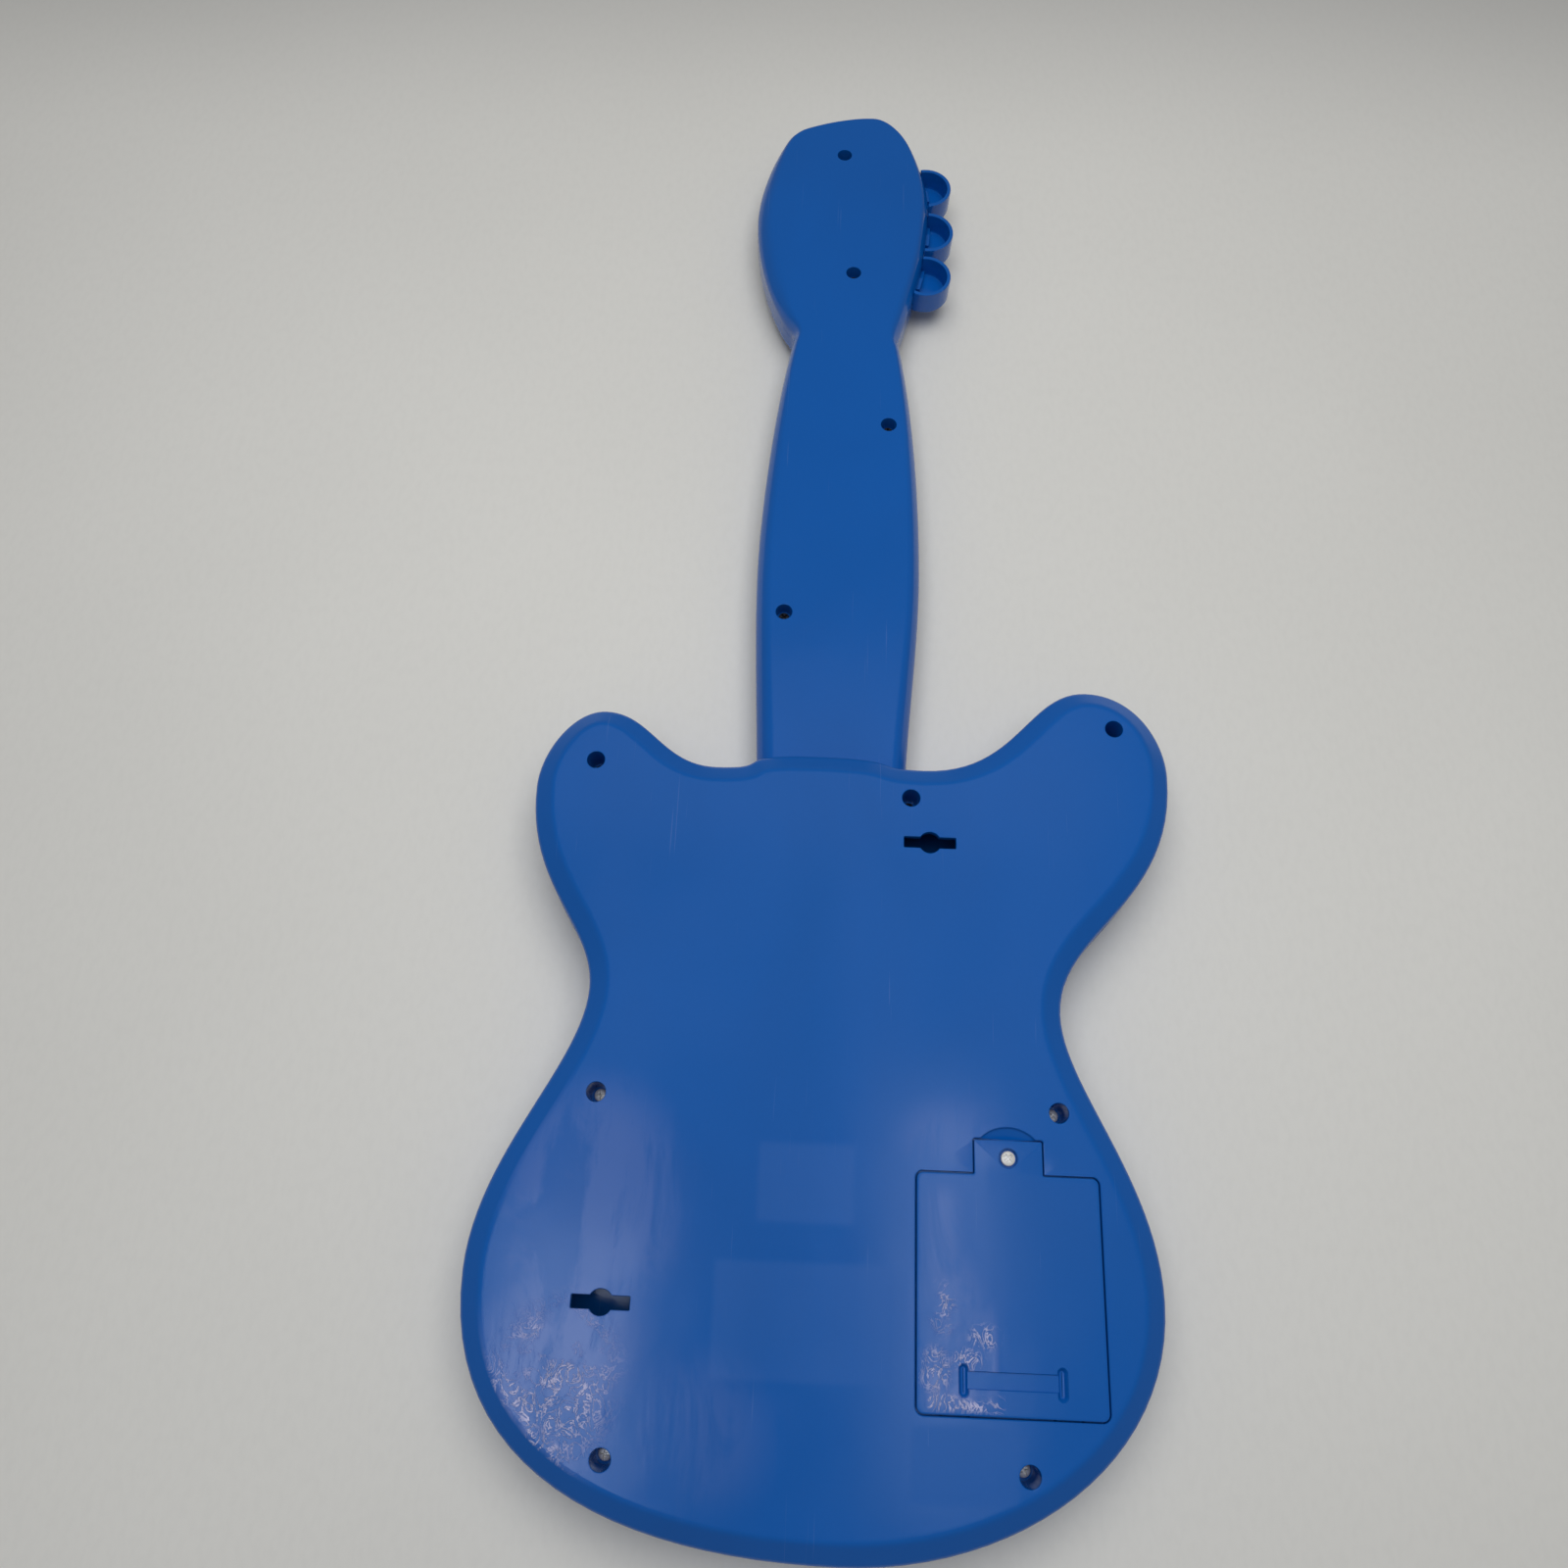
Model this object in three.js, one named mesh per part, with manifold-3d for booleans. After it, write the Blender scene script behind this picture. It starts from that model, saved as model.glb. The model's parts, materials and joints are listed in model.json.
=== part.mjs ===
// Toy electric guitar lying on its front: +Z up through its back, +Y along the neck,
// origin under the middle of its outline. Millimetres.
import * as THREE from 'three';
import { mergeVertices } from 'three/addons/utils/BufferGeometryUtils.js';
import Module from 'manifold-3d';

const wasm = await Module();
wasm.setup();

// ---- driving dimensions ----
const BACK_Z = 33;            // flat back of the body
const NECK_Z = 23;            // flat back of the neck and headstock
const SEAM_Z = 14;            // parting line of the two shells
const FRONT_Z = 4;            // front face of the body and neck
const HEAD_FRONT_Z = 7;       // front face of the headstock
const WALL = 2;
const GAP = 0.3;              // clearance between neighbours
const NECK_X = -4.4;          // centre line of the neck and strings
const HEEL_Y = -45;           // the neck reaches this far into the body
const NUT_Y = 152;

const HOLE_R = 2.95;          // screw wells
const SCREW_SEAT = 12;        // depth of a well in the body
const NECK_SEAT = 6;          // depth of a well in the neck
const SCREW_TIP_Z = 7.4;
const SCREW_HEAD_R = 2.1;
const CORE_R = 1.7;           // bore under a well

const DOOR = { left: 23.7, right: 77.6, bottom: -231.2, top: -166.9, thick: 2, edge: 0.35 };
const TAB = { x: 51, half: 10.2, top: -157.1, screwY: -162.2 };
const BAY = { left: 26, right: 75.2, bottom: -227, top: -170, floor: 16.2 };
const CELL_R = 7.1;
const CELL_LENGTH = 49.2;

const GRIP = { left: 37, right: 64.8, bottom: -226.6, top: -218.2, depth: 0.6 };
const NOTCH = { r: 11.8, rise: 3.75, depth: 2.6 };
const TONGUES = [34.5, 66.5];
const CELL_PITCH = 15.4;
const WIRE_R = 0.8;

const KEY_PITCH = 24;
const KEY_TOP_Y = 134;
const KEY_SIZE = [23, 13];
const STRUM = { y: -150, length: 46, pivotZ: 9.5 };
const BUTTONS = [[30, -142], [38, -117], [30, -92]];
const SWITCH = { x: 52, y: -92, travel: 8 };
const SPEAKER = { x: -62, y: -180, r: 25 };
const LENS = { x: -40, y: -112, r: 6 };

// Anchors of an outline, anticlockwise: x, y, heading in degrees, reach before and after.
const BODY = [
  [3, -270, 0, 60, 49], [96.5, -200, 90, 42, 34], [69.5, -118, 90, 22, 27], [109, -36.5, 90, 45, 14],
  [82.5, -6, 180, 17, 20], [26.5, -37, 180, 32, 20], [-10, -33.5, 180, 32, 32], [-44, -38.5, 180, 21, 19],
  [-83.5, -19.5, 180, 16, 11], [-104.5, -48, 270, 13, 35], [-80, -115.5, 270, 20, 24],
  [-109, -199.5, 270, 33, 53],
];
const NECK = [
  [21, HEEL_Y, 89, 0, 28], [26, 45, 90, 30, 34], [17.5, 150, 101, 30, 3], [21, 166.5, 76, 5, 16],
  [29.5, 220, 88, 26, 10], [24.2, 249, 110, 10, 6], [16, 264, 132, 6, 4.4],
  [5, 270, 180, 4.4, 10], [-25, 263, 204, 8, 2],
  [-31, 258, 233, 2, 8], [-42.5, 212, 272, 18, 22], [-30, 162, 298, 10, 5], [-25, 151, 259, 4, 30],
  [-34.5, 45, 270, 30, 28], [-30.5, HEEL_Y, 272, 28, 0],
];
const GUARD = [
  [-10, -246, 0, 30, 26], [40, -222, 75, 22, 20], [62, -160, 90, 24, 22], [66, -84, 90, 20, 18],
  [30, -62, 180, 16, 14], [-4, -66, 180, 12, 14], [-52, -78, 200, 14, 16], [-66, -118, 270, 16, 20],
  [-90, -178, 270, 22, 24],
];
const SCREWS = [
  [-6.7, 246.8], [-1.6, 182.7], [13.5, 108.3], [-23.7, 24.8], [-84.4, -39.5], [90.5, -21.2],
  [21.7, -48.9], [-73.9, -147.9], [66.7, -148.5], [-63.3, -246.1], [55, -245.4],
];
const TIE_SLOTS = [[27.9, -64.2], [-67, -206.4]];
const TUNERS = [[28.6, 233], [29.4, 208.7], [28.2, 185.2]];
const TUNER = { outer: 10.4, inner: 8.8, bottom: 10, rim: 20, web: 13.4 };

// Rings of a shell's outside and inside, bottom to top: inset from the outline, height.
const BODY_BACK = [[0, SEAM_Z + GAP / 2], [0, 28], [1, 29.2], [5.6, 32.4], [6.6, BACK_Z]];
const BODY_BACK_IN = [[2, 4], [2, 24.8], [2.4, 26], [6.2, 29.8], [7.6, BACK_Z - WALL]];
const NECK_BACK = [[0, SEAM_Z + GAP / 2], [0, 17], [0.7, 18.8], [3.4, 22.4], [4.8, NECK_Z]];
const NECK_BACK_IN = [[2, 4], [2, 16.6], [2.6, 18], [4.4, 20.2], [5.8, NECK_Z - WALL]];
const BODY_FRONT = [[2.6, FRONT_Z], [0.6, 5.2], [-0.7, 8], [-0.7, SEAM_Z - GAP / 2]];
const NECK_FRONT = [[2.6, FRONT_Z], [1, 5.2], [0, 8], [0, SEAM_Z - GAP / 2]];
const FRONT_IN = [[3.4, FRONT_Z + WALL], [1.6, 7.6], [1.5, SEAM_Z + 6]];

// ---- solids ----
function solid(geometry) {
  geometry.deleteAttribute('normal');
  geometry.deleteAttribute('uv');
  const merged = mergeVertices(geometry, 1e-4);
  const vertProperties = new Float32Array(merged.attributes.position.array);
  const triVerts = new Uint32Array(merged.index.array);
  return new wasm.Manifold(new wasm.Mesh({ numProp: 3, vertProperties, triVerts }));
}

function box(x0, x1, y0, y1, z0, z1) {
  const geometry = new THREE.BoxGeometry(x1 - x0, y1 - y0, z1 - z0);
  return solid(geometry.translate((x0 + x1) / 2, (y0 + y1) / 2, (z0 + z1) / 2));
}

function rod(x, y, z0, z1, radius, sides = 12) {
  const geometry = new THREE.CylinderGeometry(radius, radius, z1 - z0, sides).rotateX(Math.PI / 2);
  return solid(geometry.translate(x, y, (z0 + z1) / 2));
}

function rodAlongY(x, z, y0, y1, radius, sides = 16) {
  const geometry = new THREE.CylinderGeometry(radius, radius, y1 - y0, sides);
  return solid(geometry.translate(x, (y0 + y1) / 2, z));
}

// A turned piece: its profile is a list of [radius, height] from the axis below to the axis above.
function turned(x, y, profile, sides = 16) {
  const points = profile.map(([r, z]) => new THREE.Vector2(r, z));
  return solid(new THREE.LatheGeometry(points, sides).rotateX(Math.PI / 2).translate(x, y, 0));
}

function joined(pieces) {
  return pieces.reduce((whole, piece) => whole.add(piece));
}

function cut(whole, pieces) {
  return pieces.reduce((rest, piece) => rest.subtract(piece), whole);
}

// ---- outlines ----
function outline(anchors, spacing = 12) {
  const points = [];
  anchors.forEach(([x0, y0, heading0, , out], i) => {
    const [x1, y1, heading1, back] = anchors[(i + 1) % anchors.length];
    const start = new THREE.Vector2(x0, y0);
    const end = new THREE.Vector2(x1, y1);
    const a = THREE.MathUtils.degToRad(heading0);
    const b = THREE.MathUtils.degToRad(heading1);
    const leave = new THREE.Vector2(Math.cos(a), Math.sin(a)).multiplyScalar(out).add(start);
    const arrive = new THREE.Vector2(Math.cos(b), Math.sin(b)).multiplyScalar(-back).add(end);
    const straight = out === 0 && back === 0;
    const steps = straight ? 1 : Math.max(2, Math.round(start.distanceTo(end) / spacing));
    const curve = new THREE.CubicBezierCurve(start, leave, arrive, end);
    points.push(...curve.getPoints(steps).slice(0, -1));
  });
  return points;
}

function inset(points, distance) {
  const count = points.length;
  return points.map((point, i) => {
    const before = point.clone().sub(points[(i + count - 1) % count]).normalize();
    const after = points[(i + 1) % count].clone().sub(point).normalize();
    const inward = new THREE.Vector2(-before.y - after.y, before.x + after.x).normalize();
    const lean = inward.dot(new THREE.Vector2(-after.y, after.x));
    return point.clone().addScaledVector(inward, distance / lean);
  });
}

// A closed solid through level rings of one outline.
function loft(points, rings) {
  const count = points.length;
  const positions = [];
  rings.forEach(([distance, z]) => {
    inset(points, distance).forEach((p) => positions.push(p.x, p.y, z));
  });
  const index = [];
  for (let ring = 0; ring < rings.length - 1; ring += 1) {
    for (let i = 0; i < count; i += 1) {
      const a = ring * count + i;
      const b = ring * count + ((i + 1) % count);
      index.push(a, b, b + count, a, b + count, a + count);
    }
  }
  const top = (rings.length - 1) * count;
  THREE.ShapeUtils.triangulateShape(points, []).forEach(([a, b, c]) => {
    index.push(c, b, a, top + a, top + b, top + c);
  });
  const geometry = new THREE.BufferGeometry();
  geometry.setAttribute('position', new THREE.Float32BufferAttribute(positions, 3));
  geometry.setIndex(index);
  return solid(geometry);
}

function prism(points, z0, z1) {
  return loft(points, [[0, z0], [0, z1]]);
}

function tube(route, radius, steps) {
  const section = new THREE.Shape();
  section.absarc(0, 0, radius, 0, Math.PI * 2);
  const path = new THREE.CatmullRomCurve3(route.map((p) => new THREE.Vector3(...p)));
  const geometry = new THREE.ExtrudeGeometry(section, { steps, curveSegments: 4, extrudePath: path });
  return solid(geometry);
}

const bodyLine = outline(BODY);
const neckLine = outline(NECK);

// ---- wells and bosses shared by the two shells ----
function onBody([x, y]) {
  return y < -20 || Math.abs(x) > 60;
}

function wellFloor(screw) {
  return onBody(screw) ? BACK_Z - SCREW_SEAT : NECK_Z - NECK_SEAT;
}

function backTop(screw) {
  return onBody(screw) ? BACK_Z : NECK_Z;
}

// ---- casing ----
function tieSlot([x, y]) {
  return box(x - 8.5, x + 8.5, y - 1.85, y + 1.85, 25, 40).add(rod(x, y, 25, 40, 3.6, 16));
}

function doorRecess(clearance, z0, z1) {
  const panel = box(DOOR.left - clearance, DOOR.right + clearance, DOOR.bottom - clearance,
    DOOR.top + clearance, z0, z1);
  const tab = box(TAB.x - TAB.half - clearance, TAB.x + TAB.half + clearance, DOOR.top - 3,
    TAB.top + clearance, z0, z1);
  return panel.add(tab);
}

function fingerNotch() {
  const dish = rod(TAB.x, TAB.top + NOTCH.rise - NOTCH.r, BACK_Z - NOTCH.depth, BACK_Z + 5, NOTCH.r, 32);
  return dish.intersect(box(30, 72, TAB.top, -140, 20, 50));
}

function tongueSlot(x) {
  return box(x - 4.3, x + 4.3, -234.6, -226, 27.5, BACK_Z - DOOR.thick - 0.1);
}

function batteryBay() {
  const rimZ = BACK_Z - DOOR.thick - 2.3;
  return joined([
    box(21.5, 79.8, -235.6, -164.5, rimZ, BACK_Z - 1.5),
    box(38.5, 63.5, -166, -151, rimZ, BACK_Z - 1.5),
    box(BAY.left - WALL, BAY.right + WALL, BAY.bottom - WALL, BAY.top + WALL, SEAM_Z + 0.4, rimZ + 1),
    rod(TAB.x, TAB.screwY, 18, rimZ + 1, 4.5),
  ]);
}

function tunerTab([x, y], clearance) {
  return box(x - 9 - clearance, x + 4, y - 3 - clearance, y + 3 + clearance,
    SEAM_Z - 1.5 - clearance, SEAM_Z + 1.5 + clearance);
}

function backShell() {
  const outside = loft(bodyLine, BODY_BACK).add(loft(neckLine, NECK_BACK));
  const inside = loft(bodyLine, BODY_BACK_IN).add(loft(neckLine, NECK_BACK_IN));
  const bosses = SCREWS.map((s) => rod(s[0], s[1], SEAM_Z + GAP / 2, backTop(s) - 1, 4.5));
  const hollow = joined([outside.subtract(inside), ...bosses, batteryBay()]).intersect(outside);
  return cut(hollow, [
    ...SCREWS.map((s) => rod(s[0], s[1], wellFloor(s), 40, HOLE_R, 14)),
    ...SCREWS.map((s) => rod(s[0], s[1], 0, 40, CORE_R, 8)),
    ...TIE_SLOTS.map(tieSlot),
    ...TUNERS.map((t) => tunerTab(t, GAP)),
    doorRecess(DOOR.edge, BACK_Z - DOOR.thick - GAP, 40),
    fingerNotch(),
    box(BAY.left, BAY.right, BAY.bottom, BAY.top, BAY.floor, 40),
    ...TONGUES.map(tongueSlot),
    rod(TAB.x, TAB.screwY, 20, 40, 2.7, 16),
  ]);
}

function keyY(i) {
  return KEY_TOP_Y - i * KEY_PITCH;
}

function keyWindow(i, clearance) {
  const [w, h] = KEY_SIZE.map((size) => size / 2 + clearance);
  return box(NECK_X - w, NECK_X + w, keyY(i) - h, keyY(i) + h, -1, FRONT_Z + WALL + 1);
}

function strumWindow() {
  const half = STRUM.length / 2 + 0.6;
  return box(NECK_X - 5, NECK_X + 5, STRUM.y - half, STRUM.y + half, -1, FRONT_Z + WALL + 1);
}

function switchWindow() {
  return box(SWITCH.x - 3.3, SWITCH.x + 3.3, SWITCH.y - 5.3, SWITCH.y + SWITCH.travel + 5.3, -1,
    FRONT_Z + WALL + 1);
}

// Five slots that let the sound out.
function grille() {
  return [-2, -1, 0, 1, 2].map((row) => {
    const half = 19 - 3 * Math.abs(row);
    const y = SPEAKER.y + row * 7.5;
    return box(SPEAKER.x - half, SPEAKER.x + half, y - 1.5, y + 1.5, -1, FRONT_Z + WALL + 1);
  });
}

function frontOpenings() {
  return [
    strumWindow(),
    switchWindow(),
    ...BUTTONS.map(([x, y]) => rod(x, y, -1, FRONT_Z + WALL + 1, 6.9, 20)),
    ...grille(),
    rod(LENS.x, LENS.y, -1, FRONT_Z + WALL + 1, LENS.r + GAP, 20),
  ];
}

// A post with an open cradle for the strum bar's axle.
function axlePost(side) {
  const y = STRUM.y + side * (STRUM.length / 2 + 3);
  const post = box(NECK_X - 3.5, NECK_X + 3.5, y - 1.5, y + 1.5, FRONT_Z + 1, STRUM.pivotZ + 2.5);
  return post.subtract(box(NECK_X - 1.3, NECK_X + 1.3, y - 2, y + 2, STRUM.pivotZ - 1.3, 20));
}

function frontShell() {
  const flat = [FRONT_Z - 3, HEAD_FRONT_Z];
  const outside = loft(bodyLine, BODY_FRONT).add(loft(neckLine, NECK_FRONT))
    .subtract(box(-60, 60, NUT_Y + 6, 300, ...flat));
  const inside = loft(bodyLine, FRONT_IN)
    .add(loft(neckLine, FRONT_IN).subtract(box(-60, 60, NUT_Y + 4, 300, FRONT_Z, HEAD_FRONT_Z + WALL)));
  const bosses = SCREWS.map((s) => {
    const foot = s[1] > NUT_Y ? HEAD_FRONT_Z : FRONT_Z;
    return rod(s[0], s[1], foot + 1, SEAM_Z - GAP / 2, 3.6);
  });
  const ring = rod(SPEAKER.x, SPEAKER.y, FRONT_Z + 1, 9, SPEAKER.r + 2.3, 24)
    .subtract(rod(SPEAKER.x, SPEAKER.y, FRONT_Z, 12, SPEAKER.r + GAP, 24));
  const hollow = joined([outside.subtract(inside), ...bosses, ring, axlePost(-1), axlePost(1)]);
  return cut(hollow, [
    ...SCREWS.map((s) => {
      const floor = s[1] > NUT_Y ? HEAD_FRONT_Z + 1.6 : FRONT_Z + 2.6;
      return rod(s[0], s[1], floor, 40, CORE_R, 8);
    }),
    ...TUNERS.map((t) => tunerTab(t, GAP)),
    ...[0, 1, 2, 3, 4].map((i) => keyWindow(i, 0.4)),
    ...frontOpenings(),
  ]);
}

// Three cups that stand against the side of the headstock, joined low down by a web.
function tunerPegs() {
  const besideHead = prism(inset(neckLine, -GAP), 0, 40);
  const webLine = inset(neckLine, -1.4);
  const cups = joined(TUNERS.map(([x, y]) => rod(x, y, TUNER.bottom, TUNER.rim, TUNER.outer, 24)));
  const hollows = joined(TUNERS.map(([x, y]) => rod(x, y, TUNER.bottom + 1.6, 40, TUNER.inner, 24)));
  const web = prism(webLine, TUNER.bottom, TUNER.web).intersect(box(10, 60, 178, 240, 0, 40));
  const strip = cups.subtract(hollows).add(web).subtract(besideHead);
  const tabs = joined(TUNERS.map((place) => tunerTab(place, 0)));
  return strip.add(tabs.intersect(prism(inset(neckLine, -1.3), 0, 40)));
}

function batteryDoor() {
  const z0 = BACK_Z - DOOR.thick;
  const tongues = TONGUES.map((x) => box(x - 3.5, x + 3.5, -234, -229, z0 - 1.7, z0 - 0.5)
    .add(box(x - 3.5, x + 3.5, -230.9, -229, z0 - 1.7, z0 + 0.5)));
  const door = joined([doorRecess(0, z0, BACK_Z), ...tongues]);
  return cut(door, [
    box(GRIP.left, GRIP.right, GRIP.bottom + 2.3, GRIP.top - 1.8, BACK_Z - GRIP.depth, 40),
    ...[GRIP.left, GRIP.right].map((x) => box(x - 1.2, x + 1.2, GRIP.bottom, GRIP.top,
      BACK_Z - GRIP.depth, 40)),
    rod(TAB.x, TAB.screwY, BACK_Z - 1.2, 40, 2.6, 20),
    rod(TAB.x, TAB.screwY, 20, 40, 1.8, 16),
  ]);
}

// ---- fasteners ----
function screw(x, y, seatZ, headR, tipZ) {
  const shank = [[0, tipZ], [1.35, tipZ + 1.5], [1.35, seatZ]];
  const head = [[headR, seatZ], [headR, seatZ + 0.9], [headR * 0.75, seatZ + 1.7], [0, seatZ + 1.9]];
  return turned(x, y, [...shank, ...head], 8);
}

function doorScrew() {
  const seat = BACK_Z - 1.1;
  const shank = [[0, 22], [1.3, 23.5], [1.3, seat]];
  return turned(TAB.x, TAB.screwY, [...shank, [2.4, seat], [2.2, seat + 0.8], [0, seat + 1]], 12);
}

// ---- power ----
function cellX(i) {
  return (BAY.left + BAY.right) / 2 + (i - 1) * CELL_PITCH;
}

const CELL_MID_Y = (BAY.bottom + BAY.top) / 2;
const CELL_Z = BAY.floor + GAP + CELL_R;

function batteryCell(i) {
  const half = CELL_LENGTH / 2;
  const up = i % 2 === 0 ? 1 : -1;
  const profile = [[0, -half], [CELL_R - 0.4, -half], [CELL_R, -half + 0.5], [CELL_R, half - 0.5],
    [CELL_R - 0.4, half], [2.7, half], [2.7, half + 1.2], [0, half + 1.2]];
  const points = profile.map(([r, y]) => new THREE.Vector2(r, y));
  const cell = new THREE.LatheGeometry(points, 20);
  if (up < 0) cell.rotateZ(Math.PI);
  return solid(cell.translate(cellX(i), CELL_MID_Y, CELL_Z));
}

// A sprung metal strip at one end of the bay, across one or two cells.
function contact(first, last, end) {
  const wallY = end > 0 ? BAY.top - 0.4 : BAY.bottom + 0.4;
  const plate = box(cellX(first) - 5, cellX(last) + 5, Math.min(wallY, wallY - end * 0.5),
    Math.max(wallY, wallY - end * 0.5), BAY.floor + 1.5, 28.5);
  return plate.add(box(cellX(first) - 1.5, cellX(first) + 1.5, Math.min(wallY, wallY - end * 1.2),
    Math.max(wallY, wallY - end * 1.2), CELL_Z - 2, CELL_Z + 2));
}

function batteryWire() {
  return tube([[30, -165.5, 26], [24, -158, 22], [20, -150, 14], [22, -140, 12.7]], WIRE_R, 12);
}

// ---- front ----
function fretboardPlate() {
  const plate = prism([
    new THREE.Vector2(NECK_X - 24, -55), new THREE.Vector2(NECK_X + 24, -55),
    new THREE.Vector2(NECK_X + 25.5, 45), new THREE.Vector2(NECK_X + 18.5, NUT_Y - 3),
    new THREE.Vector2(NECK_X - 18.5, NUT_Y - 3), new THREE.Vector2(NECK_X - 25.5, 45),
  ], 1.2, FRONT_Z - GAP);
  const frets = [];
  for (let y = KEY_TOP_Y + KEY_PITCH / 2; y > -55; y -= KEY_PITCH) {
    const half = 17.5 + Math.min(5, (150 - y) / 12);
    frets.push(box(NECK_X - half, NECK_X + half, y - 0.9, y + 0.9, 0.4, 2));
  }
  return cut(joined([plate, ...frets]), [0, 1, 2, 3, 4].map((i) => keyWindow(i, 0.4)));
}

function nutBlock() {
  return box(NECK_X - 18.5, NECK_X + 18.5, NUT_Y - 2.7, NUT_Y + 3, 0, FRONT_Z - GAP);
}

function bridgeBlock() {
  const base = box(NECK_X - 33, NECK_X + 33, -222, -202, 0.9, 1.9);
  const saddles = [];
  for (let i = 0; i < 6; i += 1) {
    const x = NECK_X - 22.5 + i * 9;
    saddles.push(box(x - 3.2, x + 3.2, -218, -206, 0, 1.2));
  }
  return joined([base, ...saddles]);
}

function pickguardPlate() {
  const plate = prism(outline(GUARD), 2.2, FRONT_Z - GAP);
  return cut(plate, [...frontOpenings(), box(NECK_X - 24.4, NECK_X + 24.4, -55.4, -40, 0, 10)]);
}

function fretKey(i) {
  const [w, h] = KEY_SIZE.map((size) => size / 2);
  const y = keyY(i);
  const cap = box(NECK_X - w, NECK_X + w, y - h, y + h, 0.9, 7.2);
  const flange = box(NECK_X - w - 1.4, NECK_X + w + 1.4, y - h - 1.4, y + h + 1.4, 6.3, 7.3);
  return cap.add(flange);
}

function songButton([x, y]) {
  const cap = [[0, 0.9], [5.6, 0.9], [6.5, 1.6], [6.5, 6.3]];
  return turned(x, y, [...cap, [8.4, 6.3], [8.4, 7.3], [0, 7.3]], 20);
}

function strumPaddle() {
  const y0 = STRUM.y - STRUM.length / 2;
  const y1 = STRUM.y + STRUM.length / 2;
  const hub = rodAlongY(NECK_X, STRUM.pivotZ, y0, y1, 3.2);
  const paddle = box(NECK_X - 3, NECK_X + 3, y0, y1, 1, STRUM.pivotZ);
  return hub.add(paddle).subtract(rodAlongY(NECK_X, STRUM.pivotZ, y0 - 1, y1 + 1, 1.4, 12));
}

function powerSlider() {
  const knob = box(SWITCH.x - 3, SWITCH.x + 3, SWITCH.y - 5, SWITCH.y + 5, 1, 7);
  return knob.add(box(SWITCH.x - 5, SWITCH.x + 5, SWITCH.y - 7, SWITCH.y + 7, 6.3, 7.1));
}

function lightLens() {
  const r = LENS.r;
  const dome = [[0, 1.1], [r * 0.6, 1.3], [r, 2], [r, 6.3]];
  return turned(LENS.x, LENS.y, [...dome, [r + 1.5, 6.3], [r + 1.5, 7.6], [0, 7.6]], 20);
}

// ---- electronics ----
function mainBoard() {
  return box(14, 61, -152, -72, 10, 11.6);
}

function keyBoard() {
  return box(NECK_X - 12.5, NECK_X + 12.5, keyY(4) - 14, keyY(0) + 10, 10.6, 12.2);
}

function speakerDriver() {
  const r = SPEAKER.r;
  const cone = [[0, 6.4], [r, 6.4], [r, 8.2], [r - 3, 9]];
  return turned(SPEAKER.x, SPEAKER.y, [...cone, [14, 16], [14, 21], [0, 21]], 20);
}

function speakerWire() {
  return tube([[-48, -168, 21.9], [-30, -150, 22], [0, -112, 16], [20, -108, 12.7]], WIRE_R, 14);
}

function ribbonCable() {
  const flat = new THREE.Shape();
  flat.moveTo(-0.35, -3).lineTo(0.35, -3).lineTo(0.35, 3).lineTo(-0.35, 3);
  const path = new THREE.CatmullRomCurve3([
    new THREE.Vector3(-4, 20, 16), new THREE.Vector3(-6, -10, 16.2), new THREE.Vector3(-6, -48, 17),
    new THREE.Vector3(6, -68, 16.5), new THREE.Vector3(22, -80, 15.5),
  ]);
  return solid(new THREE.ExtrudeGeometry(flat, { steps: 16, extrudePath: path }));
}

// ---- the assembly ----
const BLUE = new THREE.MeshStandardMaterial({ color: 0x1c5096, roughness: 0.32 });
const WHITE = new THREE.MeshStandardMaterial({ color: 0xe8e6df, roughness: 0.4 });
const BLACK = new THREE.MeshStandardMaterial({ color: 0x1b1b1e, roughness: 0.5 });
const RUBBER = new THREE.MeshStandardMaterial({ color: 0xb9b9b4, roughness: 0.8 });
const STEEL = new THREE.MeshStandardMaterial({ color: 0xb6b8bb, roughness: 0.25, metalness: 1 });
const BOARD = new THREE.MeshStandardMaterial({ color: 0x1f5d33, roughness: 0.55 });
const CELL = new THREE.MeshStandardMaterial({ color: 0x3a3d42, roughness: 0.35 });
const CLEAR = new THREE.MeshStandardMaterial({ color: 0xf2e9c8, roughness: 0.1, opacity: 0.5 });
const WIRE = new THREE.MeshStandardMaterial({ color: 0xa02822, roughness: 0.5 });
const KEY_COLOURS = [0x2f9e44, 0xd6342c, 0xf0c02a, 0x2c6fd1, 0xef7b22];

function node(name, piece, material) {
  const { vertProperties, triVerts } = piece.getMesh();
  const geometry = new THREE.BufferGeometry();
  geometry.setAttribute('position', new THREE.BufferAttribute(vertProperties, 3));
  geometry.setIndex(new THREE.BufferAttribute(triVerts, 1));
  const mesh = new THREE.Mesh(geometry, material);
  mesh.name = name;
  return mesh;
}

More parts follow.
